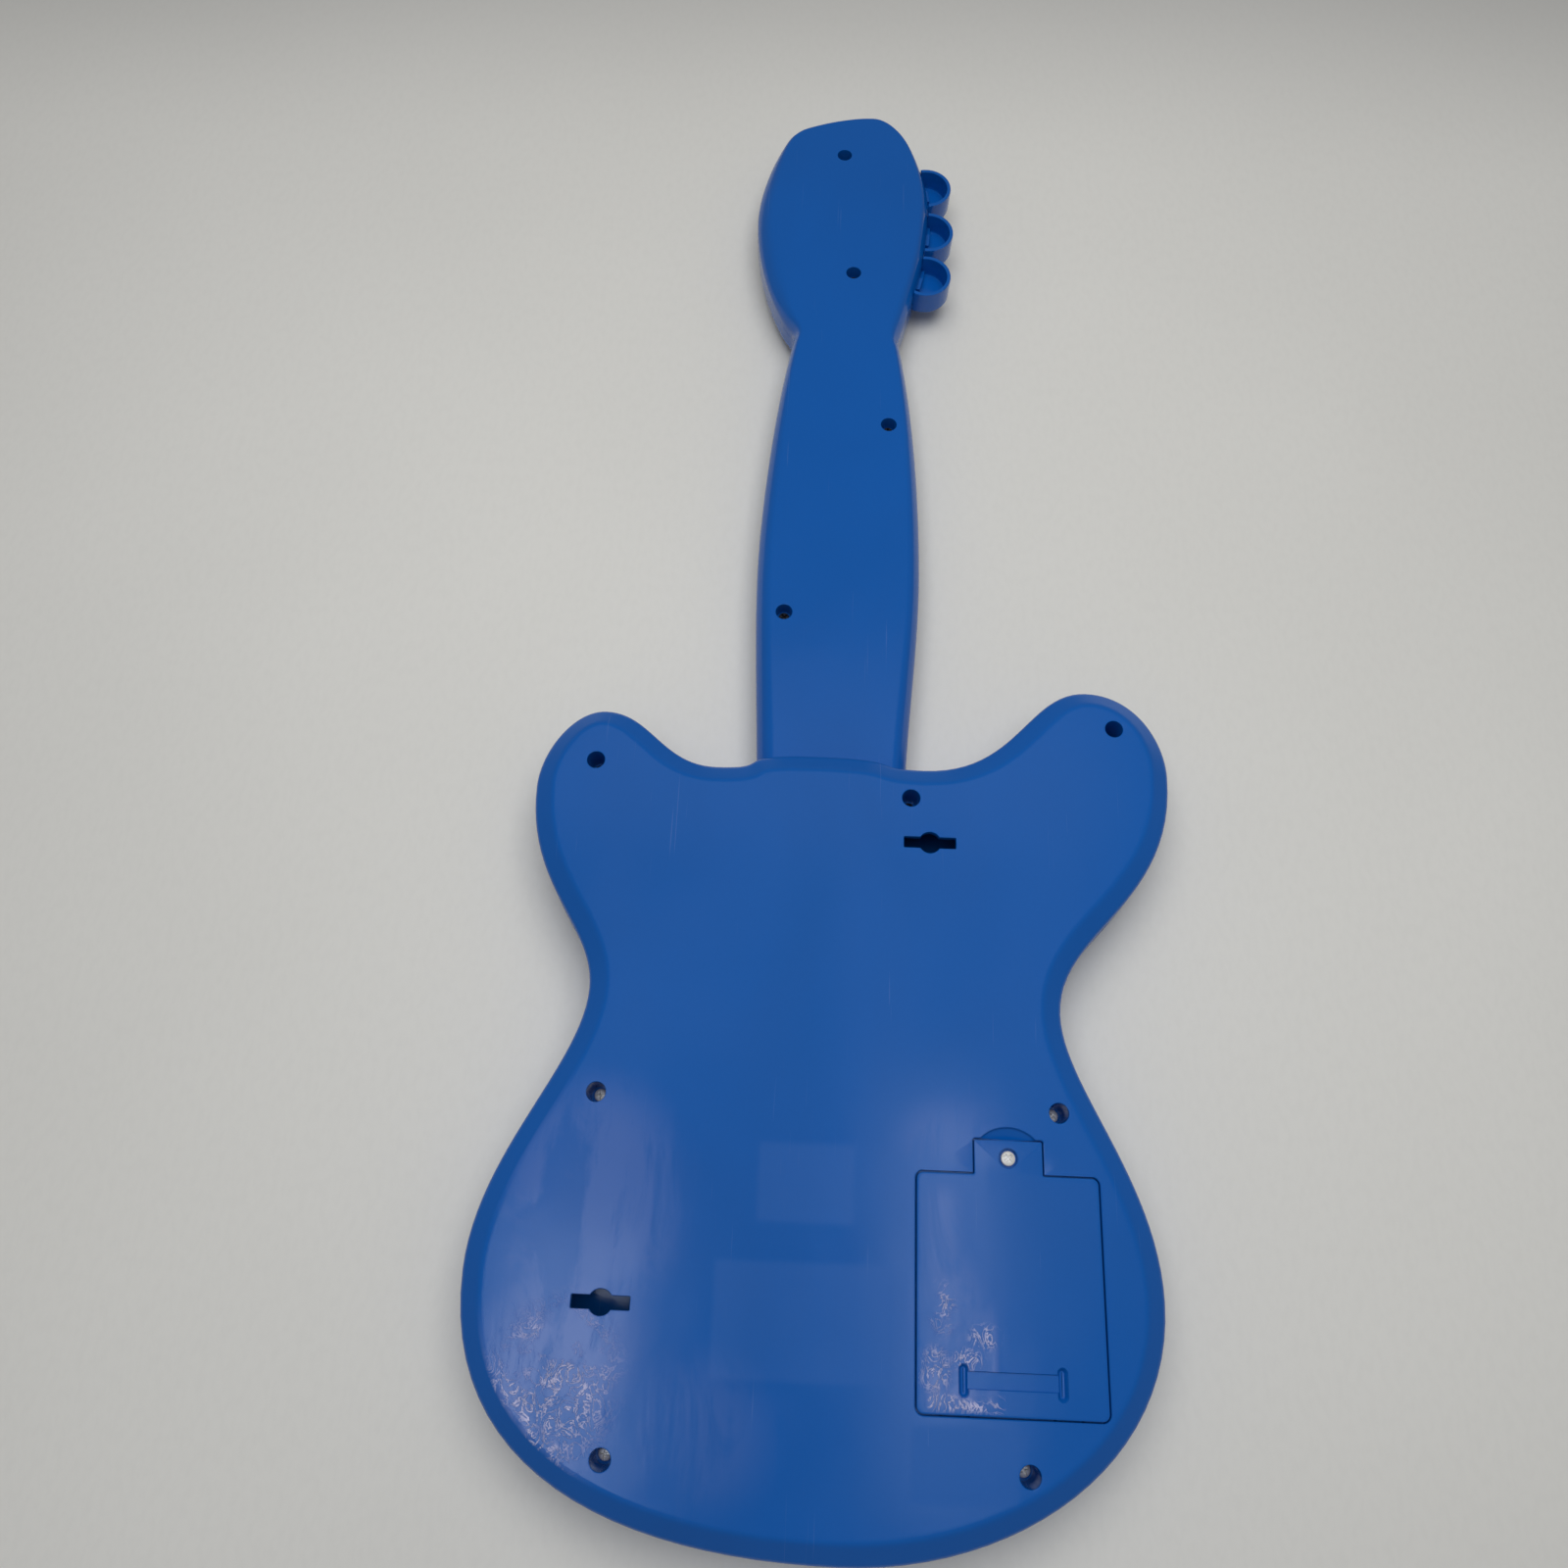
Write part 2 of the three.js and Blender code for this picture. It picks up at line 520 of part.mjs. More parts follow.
const guitar = new THREE.Group();
guitar.add(
  node('back_shell', backShell(), BLUE),
  node('front_shell', frontShell(), BLUE),
  node('tuner_pegs', tunerPegs(), BLUE),
  node('battery_door', batteryDoor(), BLUE),
  node('door_screw', doorScrew(), STEEL),
  node('pickguard', pickguardPlate(), WHITE),
  node('fretboard', fretboardPlate(), BLACK),
  node('nut', nutBlock(), WHITE),
  node('bridge', bridgeBlock(), BLACK),
  node('strum_bar', strumPaddle(), BLACK),
  node('strum_axle', rodAlongY(NECK_X, STRUM.pivotZ, STRUM.y - 28, STRUM.y + 28, 1, 10), STEEL),
  node('power_slider', powerSlider(), BLACK),
  node('power_switch', box(SWITCH.x - 4, SWITCH.x + 4, SWITCH.y - 9, SWITCH.y + 17, 7.5, 9.7), STEEL),
  node('light_lens', lightLens(), CLEAR),
  node('main_board', mainBoard(), BOARD),
  node('button_mat', box(20, 46, -151, -83, 9, 9.7), RUBBER),
  node('key_board', keyBoard(), BOARD),
  node('key_mat', box(NECK_X - 12, NECK_X + 12, keyY(4) - 12, keyY(0) + 9, 9.5, 10.3), RUBBER),
  node('speaker', speakerDriver(), BLACK),
  node('speaker_wire', speakerWire(), WIRE),
  node('battery_wire', batteryWire(), WIRE),
  node('ribbon_cable', ribbonCable(), RUBBER),
  node('contact_top_single', contact(0, 0, 1), STEEL),
  node('contact_top_pair', contact(1, 2, 1), STEEL),
  node('contact_bottom_pair', contact(0, 1, -1), STEEL),
  node('contact_bottom_single', contact(2, 2, -1), STEEL),
);
SCREWS.forEach(([x, y], i) => {
  const seat = wellFloor([x, y]) + 0.1;
  const tip = y > NUT_Y ? HEAD_FRONT_Z + 2.2 : SCREW_TIP_Z;
  guitar.add(node(`case_screw_${i + 1}`, screw(x, y, seat, SCREW_HEAD_R, tip), STEEL));
});
[0, 1, 2].forEach((i) => guitar.add(node(`battery_cell_${i + 1}`, batteryCell(i), CELL)));
KEY_COLOURS.forEach((color, i) => {
  const material = new THREE.MeshStandardMaterial({ color, roughness: 0.35 });
  guitar.add(node(`fret_key_${i + 1}`, fretKey(i), material));
});
BUTTONS.forEach((place, i) => {
  const material = new THREE.MeshStandardMaterial({ color: KEY_COLOURS[i + 1], roughness: 0.35 });
  guitar.add(node(`song_button_${i + 1}`, songButton(place), material));
});

export default guitar;
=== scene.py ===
# Toy electric guitar, lying on its front: blue two-part casing seen from its back.
# The scene is in metres; the dimensions below are millimetres and pass through MM.
import json
import math

import bmesh
import bpy
import numpy as np
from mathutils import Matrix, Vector

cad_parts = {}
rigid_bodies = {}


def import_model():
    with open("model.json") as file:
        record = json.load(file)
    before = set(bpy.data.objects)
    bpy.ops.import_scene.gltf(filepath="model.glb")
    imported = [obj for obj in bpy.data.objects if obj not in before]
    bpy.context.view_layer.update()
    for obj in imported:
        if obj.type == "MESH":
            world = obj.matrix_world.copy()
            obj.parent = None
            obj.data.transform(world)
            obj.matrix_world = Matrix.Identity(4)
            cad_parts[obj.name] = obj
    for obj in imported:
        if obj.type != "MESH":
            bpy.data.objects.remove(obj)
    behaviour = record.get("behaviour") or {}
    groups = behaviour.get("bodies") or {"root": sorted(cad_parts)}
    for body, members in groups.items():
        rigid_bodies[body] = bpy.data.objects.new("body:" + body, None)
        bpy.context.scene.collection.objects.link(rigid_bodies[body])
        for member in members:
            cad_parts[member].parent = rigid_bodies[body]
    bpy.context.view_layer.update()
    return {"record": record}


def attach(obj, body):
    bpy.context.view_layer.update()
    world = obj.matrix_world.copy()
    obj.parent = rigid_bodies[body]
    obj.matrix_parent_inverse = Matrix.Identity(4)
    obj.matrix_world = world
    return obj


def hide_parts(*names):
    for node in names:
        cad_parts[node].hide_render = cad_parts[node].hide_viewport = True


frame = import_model()

MM = 0.001

# ---- dimensions of the guitar ----
BACK_Z, NECK_Z, SEAM_Z, FRONT_Z, HEAD_FRONT_Z = 33, 23, 14, 4, 7
WALL, GAP = 2, 0.3
NECK_X, NUT_Y = -4.4, 152
WELL_R, BORE_R = 2.95, 1.7
WELL_DEPTH, NECK_WELL_DEPTH = 12, 6

# Anchors of an outline, anticlockwise: x, y, heading in degrees, reach before and after.
BODY = [
    (3, -270, 0, 60, 49), (96.5, -200, 90, 42, 34), (69.5, -118, 90, 22, 27), (109, -36.5, 90, 45, 14),
    (82.5, -6, 180, 17, 20), (26.5, -37, 180, 32, 20), (-10, -33.5, 180, 32, 32), (-44, -38.5, 180, 21, 19),
    (-83.5, -19.5, 180, 16, 11), (-104.5, -48, 270, 13, 35), (-80, -115.5, 270, 20, 24),
    (-109, -199.5, 270, 33, 53),
]
NECK = [
    (21, -45, 89, 0, 28), (26, 45, 90, 30, 34), (17.5, 150, 101, 30, 3), (21, 166.5, 76, 5, 16),
    (29.5, 220, 88, 26, 10), (24.2, 249, 110, 10, 6), (16, 264, 132, 6, 4.4), (5, 270, 180, 4.4, 10),
    (-25, 263, 204, 8, 2),
    (-31, 258, 233, 2, 8), (-42.5, 212, 272, 18, 22), (-30, 162, 298, 10, 5), (-25, 151, 259, 4, 30),
    (-34.5, 45, 270, 30, 28), (-30.5, -45, 272, 28, 0),
]
GUARD = [
    (-10, -246, 0, 30, 26), (40, -222, 75, 22, 20), (62, -160, 90, 24, 22), (66, -84, 90, 20, 18),
    (30, -62, 180, 16, 14), (-4, -66, 180, 12, 14), (-52, -78, 200, 14, 16), (-66, -118, 270, 16, 20),
    (-90, -178, 270, 22, 24),
]
SCREWS = [
    (-6.7, 246.8), (-1.6, 182.7), (13.5, 108.3), (-23.7, 24.8), (-84.4, -39.5), (90.5, -21.2),
    (21.7, -48.9), (-73.9, -147.9), (66.7, -148.5), (-63.3, -246.1), (55, -245.4),
]
TIE_SLOTS = [(27.9, -64.2), (-67, -206.4)]
TUNERS = [(28.6, 233), (29.4, 208.7), (28.2, 185.2)]
TUNER_R, TUNER_HOLLOW_R, TUNER_LOW, TUNER_RIM, WEB_TOP = 10.4, 8.8, 10, 20, 13.4
DOOR_LEFT, DOOR_RIGHT, DOOR_BOTTOM, DOOR_TOP, DOOR_THICK = 23.7, 77.6, -231.2, -166.9, 2
TAB_X, TAB_HALF, TAB_TOP, TAB_SCREW_Y = 51, 10.2, -157.1, -162.2
GRIP_ENDS, GRIP_BOTTOM, GRIP_TOP = (37, 64.8), -226.6, -218.2
TONGUES = (34.5, 66.5)
BAY_LEFT, BAY_RIGHT, BAY_BOTTOM, BAY_TOP, BAY_FLOOR = 26, 75.2, -227, -170, 16.2
CELL_R, CELL_LENGTH, CELL_PITCH = 7.1, 49.2, 15.4
KEY_TOP_Y, KEY_PITCH, KEY_W, KEY_H, KEY_CLEARANCE = 134, 24, 23, 13, 0.4
STRUM_Y, STRUM_LENGTH, STRUM_Z = -150, 46, 9.5
BUTTONS = [(30, -142), (38, -117), (30, -92)]
SWITCH_X, SWITCH_Y, SWITCH_TRAVEL = 52, -92, 8
SPEAKER_X, SPEAKER_Y, SPEAKER_R = -62, -180, 25
LENS_X, LENS_Y, LENS_R = -40, -112, 6

# Rings of a shell, bottom to top: inset from the outline, height.
BODY_RINGS = [
    (0, 14.05), (0, 27), (0.06, 27.7), (0.25, 28.3), (0.6, 28.78), (1, 29.12), (1.5, 29.48), (3.2, 30.67),
    (4.9, 31.86), (5.4, 32.2), (5.85, 32.49), (6.25, 32.72), (6.7, 32.9), (7.15, 32.98), (7.5, 33), (8.2, 33),
]
BODY_HOLLOW = [(2, 4), (2, 24.8), (2.4, 26), (6.2, 29.8), (7.6, 31)]
NECK_RINGS = [
    (0, 14.05), (0, 16.6), (0.12, 17.6), (0.5, 18.7), (1.2, 19.8), (2.1, 20.9), (3, 21.8), (3.9, 22.4),
    (4.8, 22.8), (5.6, 22.97), (6.3, 23), (7.2, 23),
]
NECK_HOLLOW = [(2, 4), (2, 16.2), (2.9, 18), (5.4, 20.2), (7, 21)]
BODY_FRONT_RINGS = [
    (4, 4), (2.6, 4), (1.6, 4.25), (0.8, 4.9), (0.2, 6), (-0.35, 7.2), (-0.7, 8.4), (-0.7, 13.5),
    (-0.5, 13.95),
]
NECK_FRONT_RINGS = [(4, 4), (2.6, 4), (1.8, 4.25), (1.1, 4.9), (0.5, 6), (0.1, 7.4), (0, 8.4), (0, 13.95)]
FRONT_HOLLOW = [(3.4, 6), (1.6, 7.6), (1.5, 20)]


# ---- the camera, the floor and the lights ----
def place_camera():
    bpy.ops.object.select_all(action="DESELECT")
    turn = (math.radians(20.5), 0, math.radians(2.35))
    bpy.ops.object.camera_add(location=(-0.01516, -0.18315, 0.40084), rotation=turn)
    camera = bpy.context.object
    camera.data.lens = 27
    camera.data.sensor_width = 36
    camera.data.clip_start = 0.01
    bpy.context.scene.camera = camera


def soft_light(name, place, aim, size, power, colour=(1, 1, 1)):
    """A panel that faces its aim, with its second size lying along Y."""
    to = (Vector(aim) - Vector(place)).normalized()
    turn = (math.asin(to.y), math.atan2(-to.x, -to.z), 0)
    bpy.ops.object.light_add(type="AREA", location=place, rotation=turn)
    light = bpy.context.object
    light.name = name
    light.data.shape = "RECTANGLE"
    light.data.size, light.data.size_y = size
    light.data.energy = power
    light.data.color = colour
    return light


place_camera()


# ---- materials ----
def add(tree, kind, inputs=None, **settings):
    item = tree.nodes.new("ShaderNode" + kind)
    for key, value in settings.items():
        setattr(item, key, value)
    for socket, value in (inputs or {}).items():
        if isinstance(value, bpy.types.NodeSocket):
            tree.links.new(value, item.inputs[socket])
        else:
            item.inputs[socket].default_value = value
    return item


def maths(tree, operation, a, b=0.0, clamp=False):
    return add(tree, "Math", {0: a, 1: b}, operation=operation, use_clamp=clamp).outputs[0]


def blend_colour(tree, amount, a, b):
    mix = add(tree, "Mix", {0: amount, 6: a, 7: b}, data_type="RGBA")
    return mix.outputs[2]


def span(tree, value, low, high, start=0.0, end=1.0):
    return add(tree, "MapRange", {0: value, 1: low, 2: high, 3: start, 4: end},
               interpolation_type="SMOOTHSTEP").outputs[0]


def object_place(tree, scale=(1, 1, 1), turn=0.0):
    place = add(tree, "TexCoord").outputs["Object"]
    return add(tree, "Mapping", {0: place, 2: (0, 0, turn), 3: scale}).outputs[0]


def noise(tree, place, scale, detail=3.0, distortion=0.0, roughness=0.5):
    inputs = {"Vector": place, "Scale": scale, "Detail": detail, "Distortion": distortion,
              "Roughness": roughness}
    return add(tree, "TexNoise", inputs).outputs[0]


def effect(name, inputs, outputs):
    """An empty node group with named value or colour sockets."""
    tree = bpy.data.node_groups.new(name, "ShaderNodeTree")
    kinds = {"value": "NodeSocketFloat", "colour": "NodeSocketColor"}
    for label, kind in inputs:
        tree.interface.new_socket(name=label, in_out="INPUT", socket_type=kinds[kind])
    for label, kind in outputs:
        tree.interface.new_socket(name=label, in_out="OUTPUT", socket_type=kinds[kind])
    return tree, tree.nodes.new("NodeGroupInput"), tree.nodes.new("NodeGroupOutput")


def use(tree, group, inputs):
    item = tree.nodes.new("ShaderNodeGroup")
    item.node_tree = group
    for socket, value in inputs.items():
        if isinstance(value, bpy.types.NodeSocket):
            tree.links.new(value, item.inputs[socket])
        else:
            item.inputs[socket].default_value = value
    return item


def make_tone():
    """Uneven colour of moulded plastic: broad flow clouds and small pigment specks."""
    tree, given, result = effect("uneven_tone", [("Colour", "colour"), ("Amount", "value")],
                                 [("Colour", "colour")])
    clouds = noise(tree, object_place(tree, (1, 0.6, 1)), 16, 4, 0.6)
    specks = noise(tree, object_place(tree), 900, 2)
    drift = maths(tree, "ADD", maths(tree, "SUBTRACT", clouds, 0.5),
                  maths(tree, "MULTIPLY", maths(tree, "SUBTRACT", specks, 0.5), 0.25))
    factor = maths(tree, "ADD", maths(tree, "MULTIPLY", drift, given.outputs["Amount"]), 1.0)
    tinted = add(tree, "VectorMath", {0: given.outputs["Colour"], 3: factor}, operation="SCALE")
    tree.links.new(tinted.outputs[0], result.inputs[0])
    return tree


def make_grain():
    """Height of moulded plastic: spark-eroded grain over long, shallow ripples."""
    tree, given, result = effect("moulded_grain", [("Grain", "value"), ("Ripple", "value")],
                                 [("Height", "value")])
    fine = noise(tree, object_place(tree), 1900, 2)
    ripple = noise(tree, object_place(tree, (1, 0.7, 1)), 34, 2, 0.8)
    height = maths(tree, "ADD", maths(tree, "MULTIPLY", fine, given.outputs["Grain"]),
                   maths(tree, "MULTIPLY", ripple, given.outputs["Ripple"]))
    tree.links.new(height, result.inputs[0])
    return tree


def make_scratches():
    """Mask of fine hairlines that run two ways."""
    tree, given, result = effect("hairline_scratches", [("Amount", "value")], [("Mask", "value")])
    lines = []
    for turn, long_way, fine_way in ((0.35, 16, 1300), (-0.6, 22, 1100)):
        streaks = noise(tree, object_place(tree, (fine_way, long_way, 1), turn), 1, 2)
        lines.append(span(tree, streaks, 0.70, 0.76))
    where = span(tree, noise(tree, object_place(tree), 30, 3), 0.42, 0.62)
    both = maths(tree, "MULTIPLY", maths(tree, "MAXIMUM", lines[0], lines[1]), where)
    tree.links.new(maths(tree, "MULTIPLY", both, given.outputs["Amount"]), result.inputs[0])
    return tree


def make_film_sheen_and_glints():
    """Dried, wiped film: ragged streaks, and crinkled folds inside them; these masks also place a painted
    sheen and painted highlights.
    """
    tree, given, result = effect("wiped_film_sheen_and_glints", [("Area", "value")],
                                 [("Film_and_sheen", "value"), ("Folds_and_glints", "value")])
    streaks = noise(tree, object_place(tree, (46, 17, 20), 0.12), 1, 6, 0.9, 0.62)
    wiped = noise(tree, object_place(tree, (420, 40, 1), 0.16), 1, 3, 0.4)
    ragged = maths(tree, "ADD", streaks, maths(tree, "MULTIPLY", maths(tree, "SUBTRACT", wiped, 0.5), 0.16))
    film_and_sheen = maths(tree, "MULTIPLY", span(tree, ragged, 0.39, 0.55), given.outputs["Area"])
    creases = noise(tree, object_place(tree, (1, 0.75, 1), 0.4), 210, 4, 2.4, 0.62)
    ridge = maths(tree, "ABSOLUTE", maths(tree, "SUBTRACT", creases, 0.5))
    clumps = noise(tree, object_place(tree), 85, 3, 0.8)
    folds_and_glints = maths(tree, "MULTIPLY", span(tree, ridge, 0.0, 0.055, 1.0, 0.0), span(tree, clumps, 0.34, 0.50))
    tree.links.new(film_and_sheen, result.inputs[0])
    tree.links.new(folds_and_glints, result.inputs[1])
    return tree


UNEVEN_TONE, MOULDED_GRAIN = make_tone(), make_grain()
SCRATCHES, WIPED_FILM_SHEEN_AND_GLINTS = make_scratches(), make_film_sheen_and_glints()


def new_material(name, **constants):
    material = bpy.data.materials.new(name)
    material.use_nodes = True
    shader = material.node_tree.nodes["Principled BSDF"]
    for socket, value in constants.items():
        shader.inputs[socket.replace("_", " ")].default_value = value
    return material, material.node_tree, shader


def bump_into(tree, shader, height, distance):
    bump = add(tree, "Bump", {"Height": height, "Distance": distance, "Strength": 1.0})
    tree.links.new(bump.outputs[0], shader.inputs["Normal"])


def rough_around(tree, shader, centre, swing, scale):
    value = noise(tree, object_place(tree), scale, 3)
    tree.links.new(span(tree, value, 0.3, 0.7, centre - swing, centre + swing), shader.inputs["Roughness"])


def oval(tree, centre, radii, inner=0.35, turn=0.0):
    """A soft-edged oval on the back, 1 inside and 0 outside."""
    place = add(tree, "TexCoord").outputs["Object"]
    x, y = (c * MM for c in centre)
    moved = add(tree, "VectorMath", {0: place, 1: (-x, -y, 0)}, operation="ADD").outputs[0]
    scale = (1 / (radii[0] * MM), 1 / (radii[1] * MM), 0)
    turned_place = add(tree, "VectorRotate", {0: moved, 3: turn}, rotation_type="Z_AXIS").outputs[0]
    scaled = add(tree, "VectorMath", {0: turned_place, 1: scale}, operation="MULTIPLY").outputs[0]
    length = add(tree, "VectorMath", {0: scaled}, operation="LENGTH").outputs["Value"]
    return span(tree, length, inner, 1.0, 1.0, 0.0)


def panel(tree, left, right, bottom, top, edge=1.2):
    """A straight-sided area on the back, 1 inside and 0 outside."""
    place = add(tree, "TexCoord").outputs["Object"]
    axes = add(tree, "SeparateXYZ", {0: place}).outputs
    sides = []
    for axis, low, high in ((axes[0], left, right), (axes[1], bottom, top)):
        sides.append(span(tree, axis, (low - edge) * MM, (low + edge) * MM))
        sides.append(span(tree, axis, (high - edge) * MM, (high + edge) * MM, 1.0, 0.0))
    return maths(tree, "MULTIPLY", maths(tree, "MULTIPLY", sides[0], sides[1]),
                 maths(tree, "MULTIPLY", sides[2], sides[3]))


# The filmed parts of the back, whose pale tint is partly painted sheen: share, centre, radii, where each
# starts to fade.
FILM_AND_SHEEN_OVALS = [
    (0.35, (-38, -238), (30, 26), 0.2), (0.6, (-72, -178), (34, 42), 0.45),
    (0.5, (33, -204), (14, 20), 0.2), (0.3, (34, -156), (22, 15), 0.1),
]
# Crinkled spots on the door, which also carry painted highlights: centre, radii.
CRINKLE_AND_GLINT_OVALS = [((43, -211), (6, 4.5)), ((31, -204), (5, 9)), ((29, -220), (6, 8)), ((38, -217), (6, 4))]
# Satin patches in place of lettering: left, right, bottom, top.
SATIN_PATCHES = [(-34.6, 15.4, -224.7, -193.6), (-23.4, 4.9, -182.7, -160.4), (22.3, 51.6, -253, -234)]


def blue_plastic():
    """Glossy blue casing, with satin patches and a dried film that crinkles low on the back; the film's pale
    tint is partly painted sheen, and its crinkles carry painted highlights.
    """
    material, tree, shader = new_material("blue_shell_plastic", IOR=1.47)
    shader.inputs["Coat Weight"].default_value = 0.0
    colour = use(tree, UNEVEN_TONE, {"Colour": (0.002, 0.104, 0.44, 1), "Amount": 0.22}).outputs[0]

    axes = add(tree, "SeparateXYZ", {0: add(tree, "TexCoord").outputs["Object"]}).outputs
    on_flat = span(tree, axes[2], 32.4 * MM, 32.95 * MM)
    door_end = maths(tree, "MULTIPLY", panel(tree, 26.5, 46.5, -229.5, -198, 1.4),
                     span(tree, axes[1], -214 * MM, -199 * MM, 1.0, 0.0))
    area = oval(tree, (-80, -226), (30, 46), 0.3, 0.35)
    patches = [(share, oval(tree, centre, radii, inner)) for share, centre, radii, inner in FILM_AND_SHEEN_OVALS]
    patches += [(0.45, panel(tree, 26, 35, -229.5, -172, 4)), (0.9, door_end)]
    for share, patch in patches:
        area = maths(tree, "MAXIMUM", area, maths(tree, "MULTIPLY", patch, share))
    area = maths(tree, "MULTIPLY", area, on_flat)
    film_and_sheen = use(tree, WIPED_FILM_SHEEN_AND_GLINTS, {"Area": area})
    # painted sheen: the pale lavender film tints are partly the film's own colour and partly a painted
    # reflection of the windows
    colour = blend_colour(tree, maths(tree, "MULTIPLY", area, 0.16), colour, (0.16, 0.24, 0.56, 1))
    colour = blend_colour(tree, maths(tree, "MULTIPLY", film_and_sheen.outputs["Film_and_sheen"], 0.30), colour,
                          (0.24, 0.30, 0.64, 1))
    crinkle_and_glint_area = oval(tree, (-79, -229), (23, 28), 0.35, 0.3)
    spots = [oval(tree, centre, radii, 0.3) for centre, radii in CRINKLE_AND_GLINT_OVALS]
    for patch in spots + [panel(tree, 27, 48, -230, -226, 1)]:
        crinkle_and_glint_area = maths(tree, "MAXIMUM", crinkle_and_glint_area, patch)
    blisters_and_glints = maths(tree, "MULTIPLY", film_and_sheen.outputs["Folds_and_glints"], maths(tree, "MULTIPLY", crinkle_and_glint_area, on_flat))
    # painted highlight: where the crinkled folds glint, the colour is mixed towards near-white lavender
    colour = blend_colour(tree, maths(tree, "MULTIPLY", blisters_and_glints, 0.85), colour, (0.70, 0.68, 0.95, 1))
    lines = use(tree, SCRATCHES, {"Amount": 0.16}).outputs[0]
    colour = blend_colour(tree, lines, colour, (0.20, 0.32, 0.62, 1))

    satin = panel(tree, *SATIN_PATCHES[0])
    for box in SATIN_PATCHES[1:]:
        satin = maths(tree, "MAXIMUM", satin, panel(tree, *box))
    colour = blend_colour(tree, maths(tree, "MULTIPLY", satin, 0.035), colour, (0.10, 0.22, 0.58, 1))
    tree.links.new(colour, shader.inputs["Base Color"])

    haze = span(tree, noise(tree, object_place(tree, (1, 0.5, 1)), 22, 4, 0.5), 0.35, 0.7, 0.14, 0.19)
    rough = maths(tree, "ADD", haze, maths(tree, "MULTIPLY", satin, 0.07))
    rough = maths(tree, "SUBTRACT", rough, maths(tree, "MULTIPLY", film_and_sheen.outputs["Film_and_sheen"], 0.03))
    rough = maths(tree, "ADD", rough, maths(tree, "MULTIPLY", lines, 0.5), True)
    tree.links.new(rough, shader.inputs["Roughness"])

    grain = use(tree, MOULDED_GRAIN, {"Grain": 0.05, "Ripple": 1.0}).outputs[0]
    height = maths(tree, "ADD", grain, maths(tree, "MULTIPLY", film_and_sheen.outputs["Film_and_sheen"], 0.25))
    height = maths(tree, "ADD", height, maths(tree, "MULTIPLY", blisters_and_glints, 0.9))
    bump_into(tree, shader, height, 0.00012)
    return material


def moulded_plastic(name, colour, roughness, grain=0.06):
    material, tree, shader = new_material(name, IOR=1.47)
    tone = use(tree, UNEVEN_TONE, {"Colour": (*colour, 1), "Amount": 0.18}).outputs[0]
    lines = use(tree, SCRATCHES, {"Amount": 0.12}).outputs[0]
    pale = tuple(0.6 * c + 0.3 for c in colour)
    tree.links.new(blend_colour(tree, lines, tone, (*pale, 1)), shader.inputs["Base Color"])
    rough_around(tree, shader, roughness, 0.05, 60)
    height = use(tree, MOULDED_GRAIN, {"Grain": grain, "Ripple": 0.8}).outputs[0]
    bump_into(tree, shader, height, 0.00010)
    return material


def plated_metal(name, colour, roughness, metallic=1.0, painted_shade_from=1.0):
    """Bright metal; beyond a distance along the guitar it is painted near-black, a painted shade for screws
    that sit in dim wells.
    """
    material, tree, shader = new_material(name, Metallic=metallic)
    tone = use(tree, UNEVEN_TONE, {"Colour": (*colour, 1), "Amount": 0.35}).outputs[0]
    along = add(tree, "SeparateXYZ", {0: add(tree, "TexCoord").outputs["Object"]}).outputs[1]
    # painted shade: beyond this distance the metal is mixed towards near-black
    black = span(tree, along, painted_shade_from, painted_shade_from + 0.002)
    tone = blend_colour(tree, black, tone, (0.035, 0.036, 0.045, 1))
    tree.links.new(tone, shader.inputs["Base Color"])
    rough_around(tree, shader, roughness, 0.09, 420)
    lines = use(tree, SCRATCHES, {"Amount": 1.0}).outputs[0]
    bump_into(tree, shader, lines, 0.00003)
    return material


def circuit_board():
    """Green solder mask with tinned tracks."""
    material, tree, shader = new_material("circuit_board", IOR=1.5)
    place = object_place(tree, (230, 230, 0))
    cells = add(tree, "TexVoronoi", {"Vector": place, "Scale": 1.0, "Randomness": 0.25},
                distance="CHEBYCHEV", feature="DISTANCE_TO_EDGE")
    track = span(tree, cells.outputs["Distance"], 0.05, 0.09, 1.0, 0.0)
    pads = add(tree, "TexVoronoi", {"Vector": place, "Scale": 0.5, "Randomness": 0.6})
    pad = span(tree, pads.outputs["Distance"], 0.16, 0.2, 1.0, 0.0)
    tone = use(tree, UNEVEN_TONE, {"Colour": (0.012, 0.115, 0.035, 1), "Amount": 0.3}).outputs[0]
    colour = blend_colour(tree, track, tone, (0.02, 0.19, 0.06, 1))
    tree.links.new(blend_colour(tree, pad, colour, (0.55, 0.55, 0.52, 1)), shader.inputs["Base Color"])
    tree.links.new(pad, shader.inputs["Metallic"])
    rough_around(tree, shader, 0.35, 0.08, 80)
    bump_into(tree, shader, maths(tree, "ADD", track, pad), 0.00004)
    return material


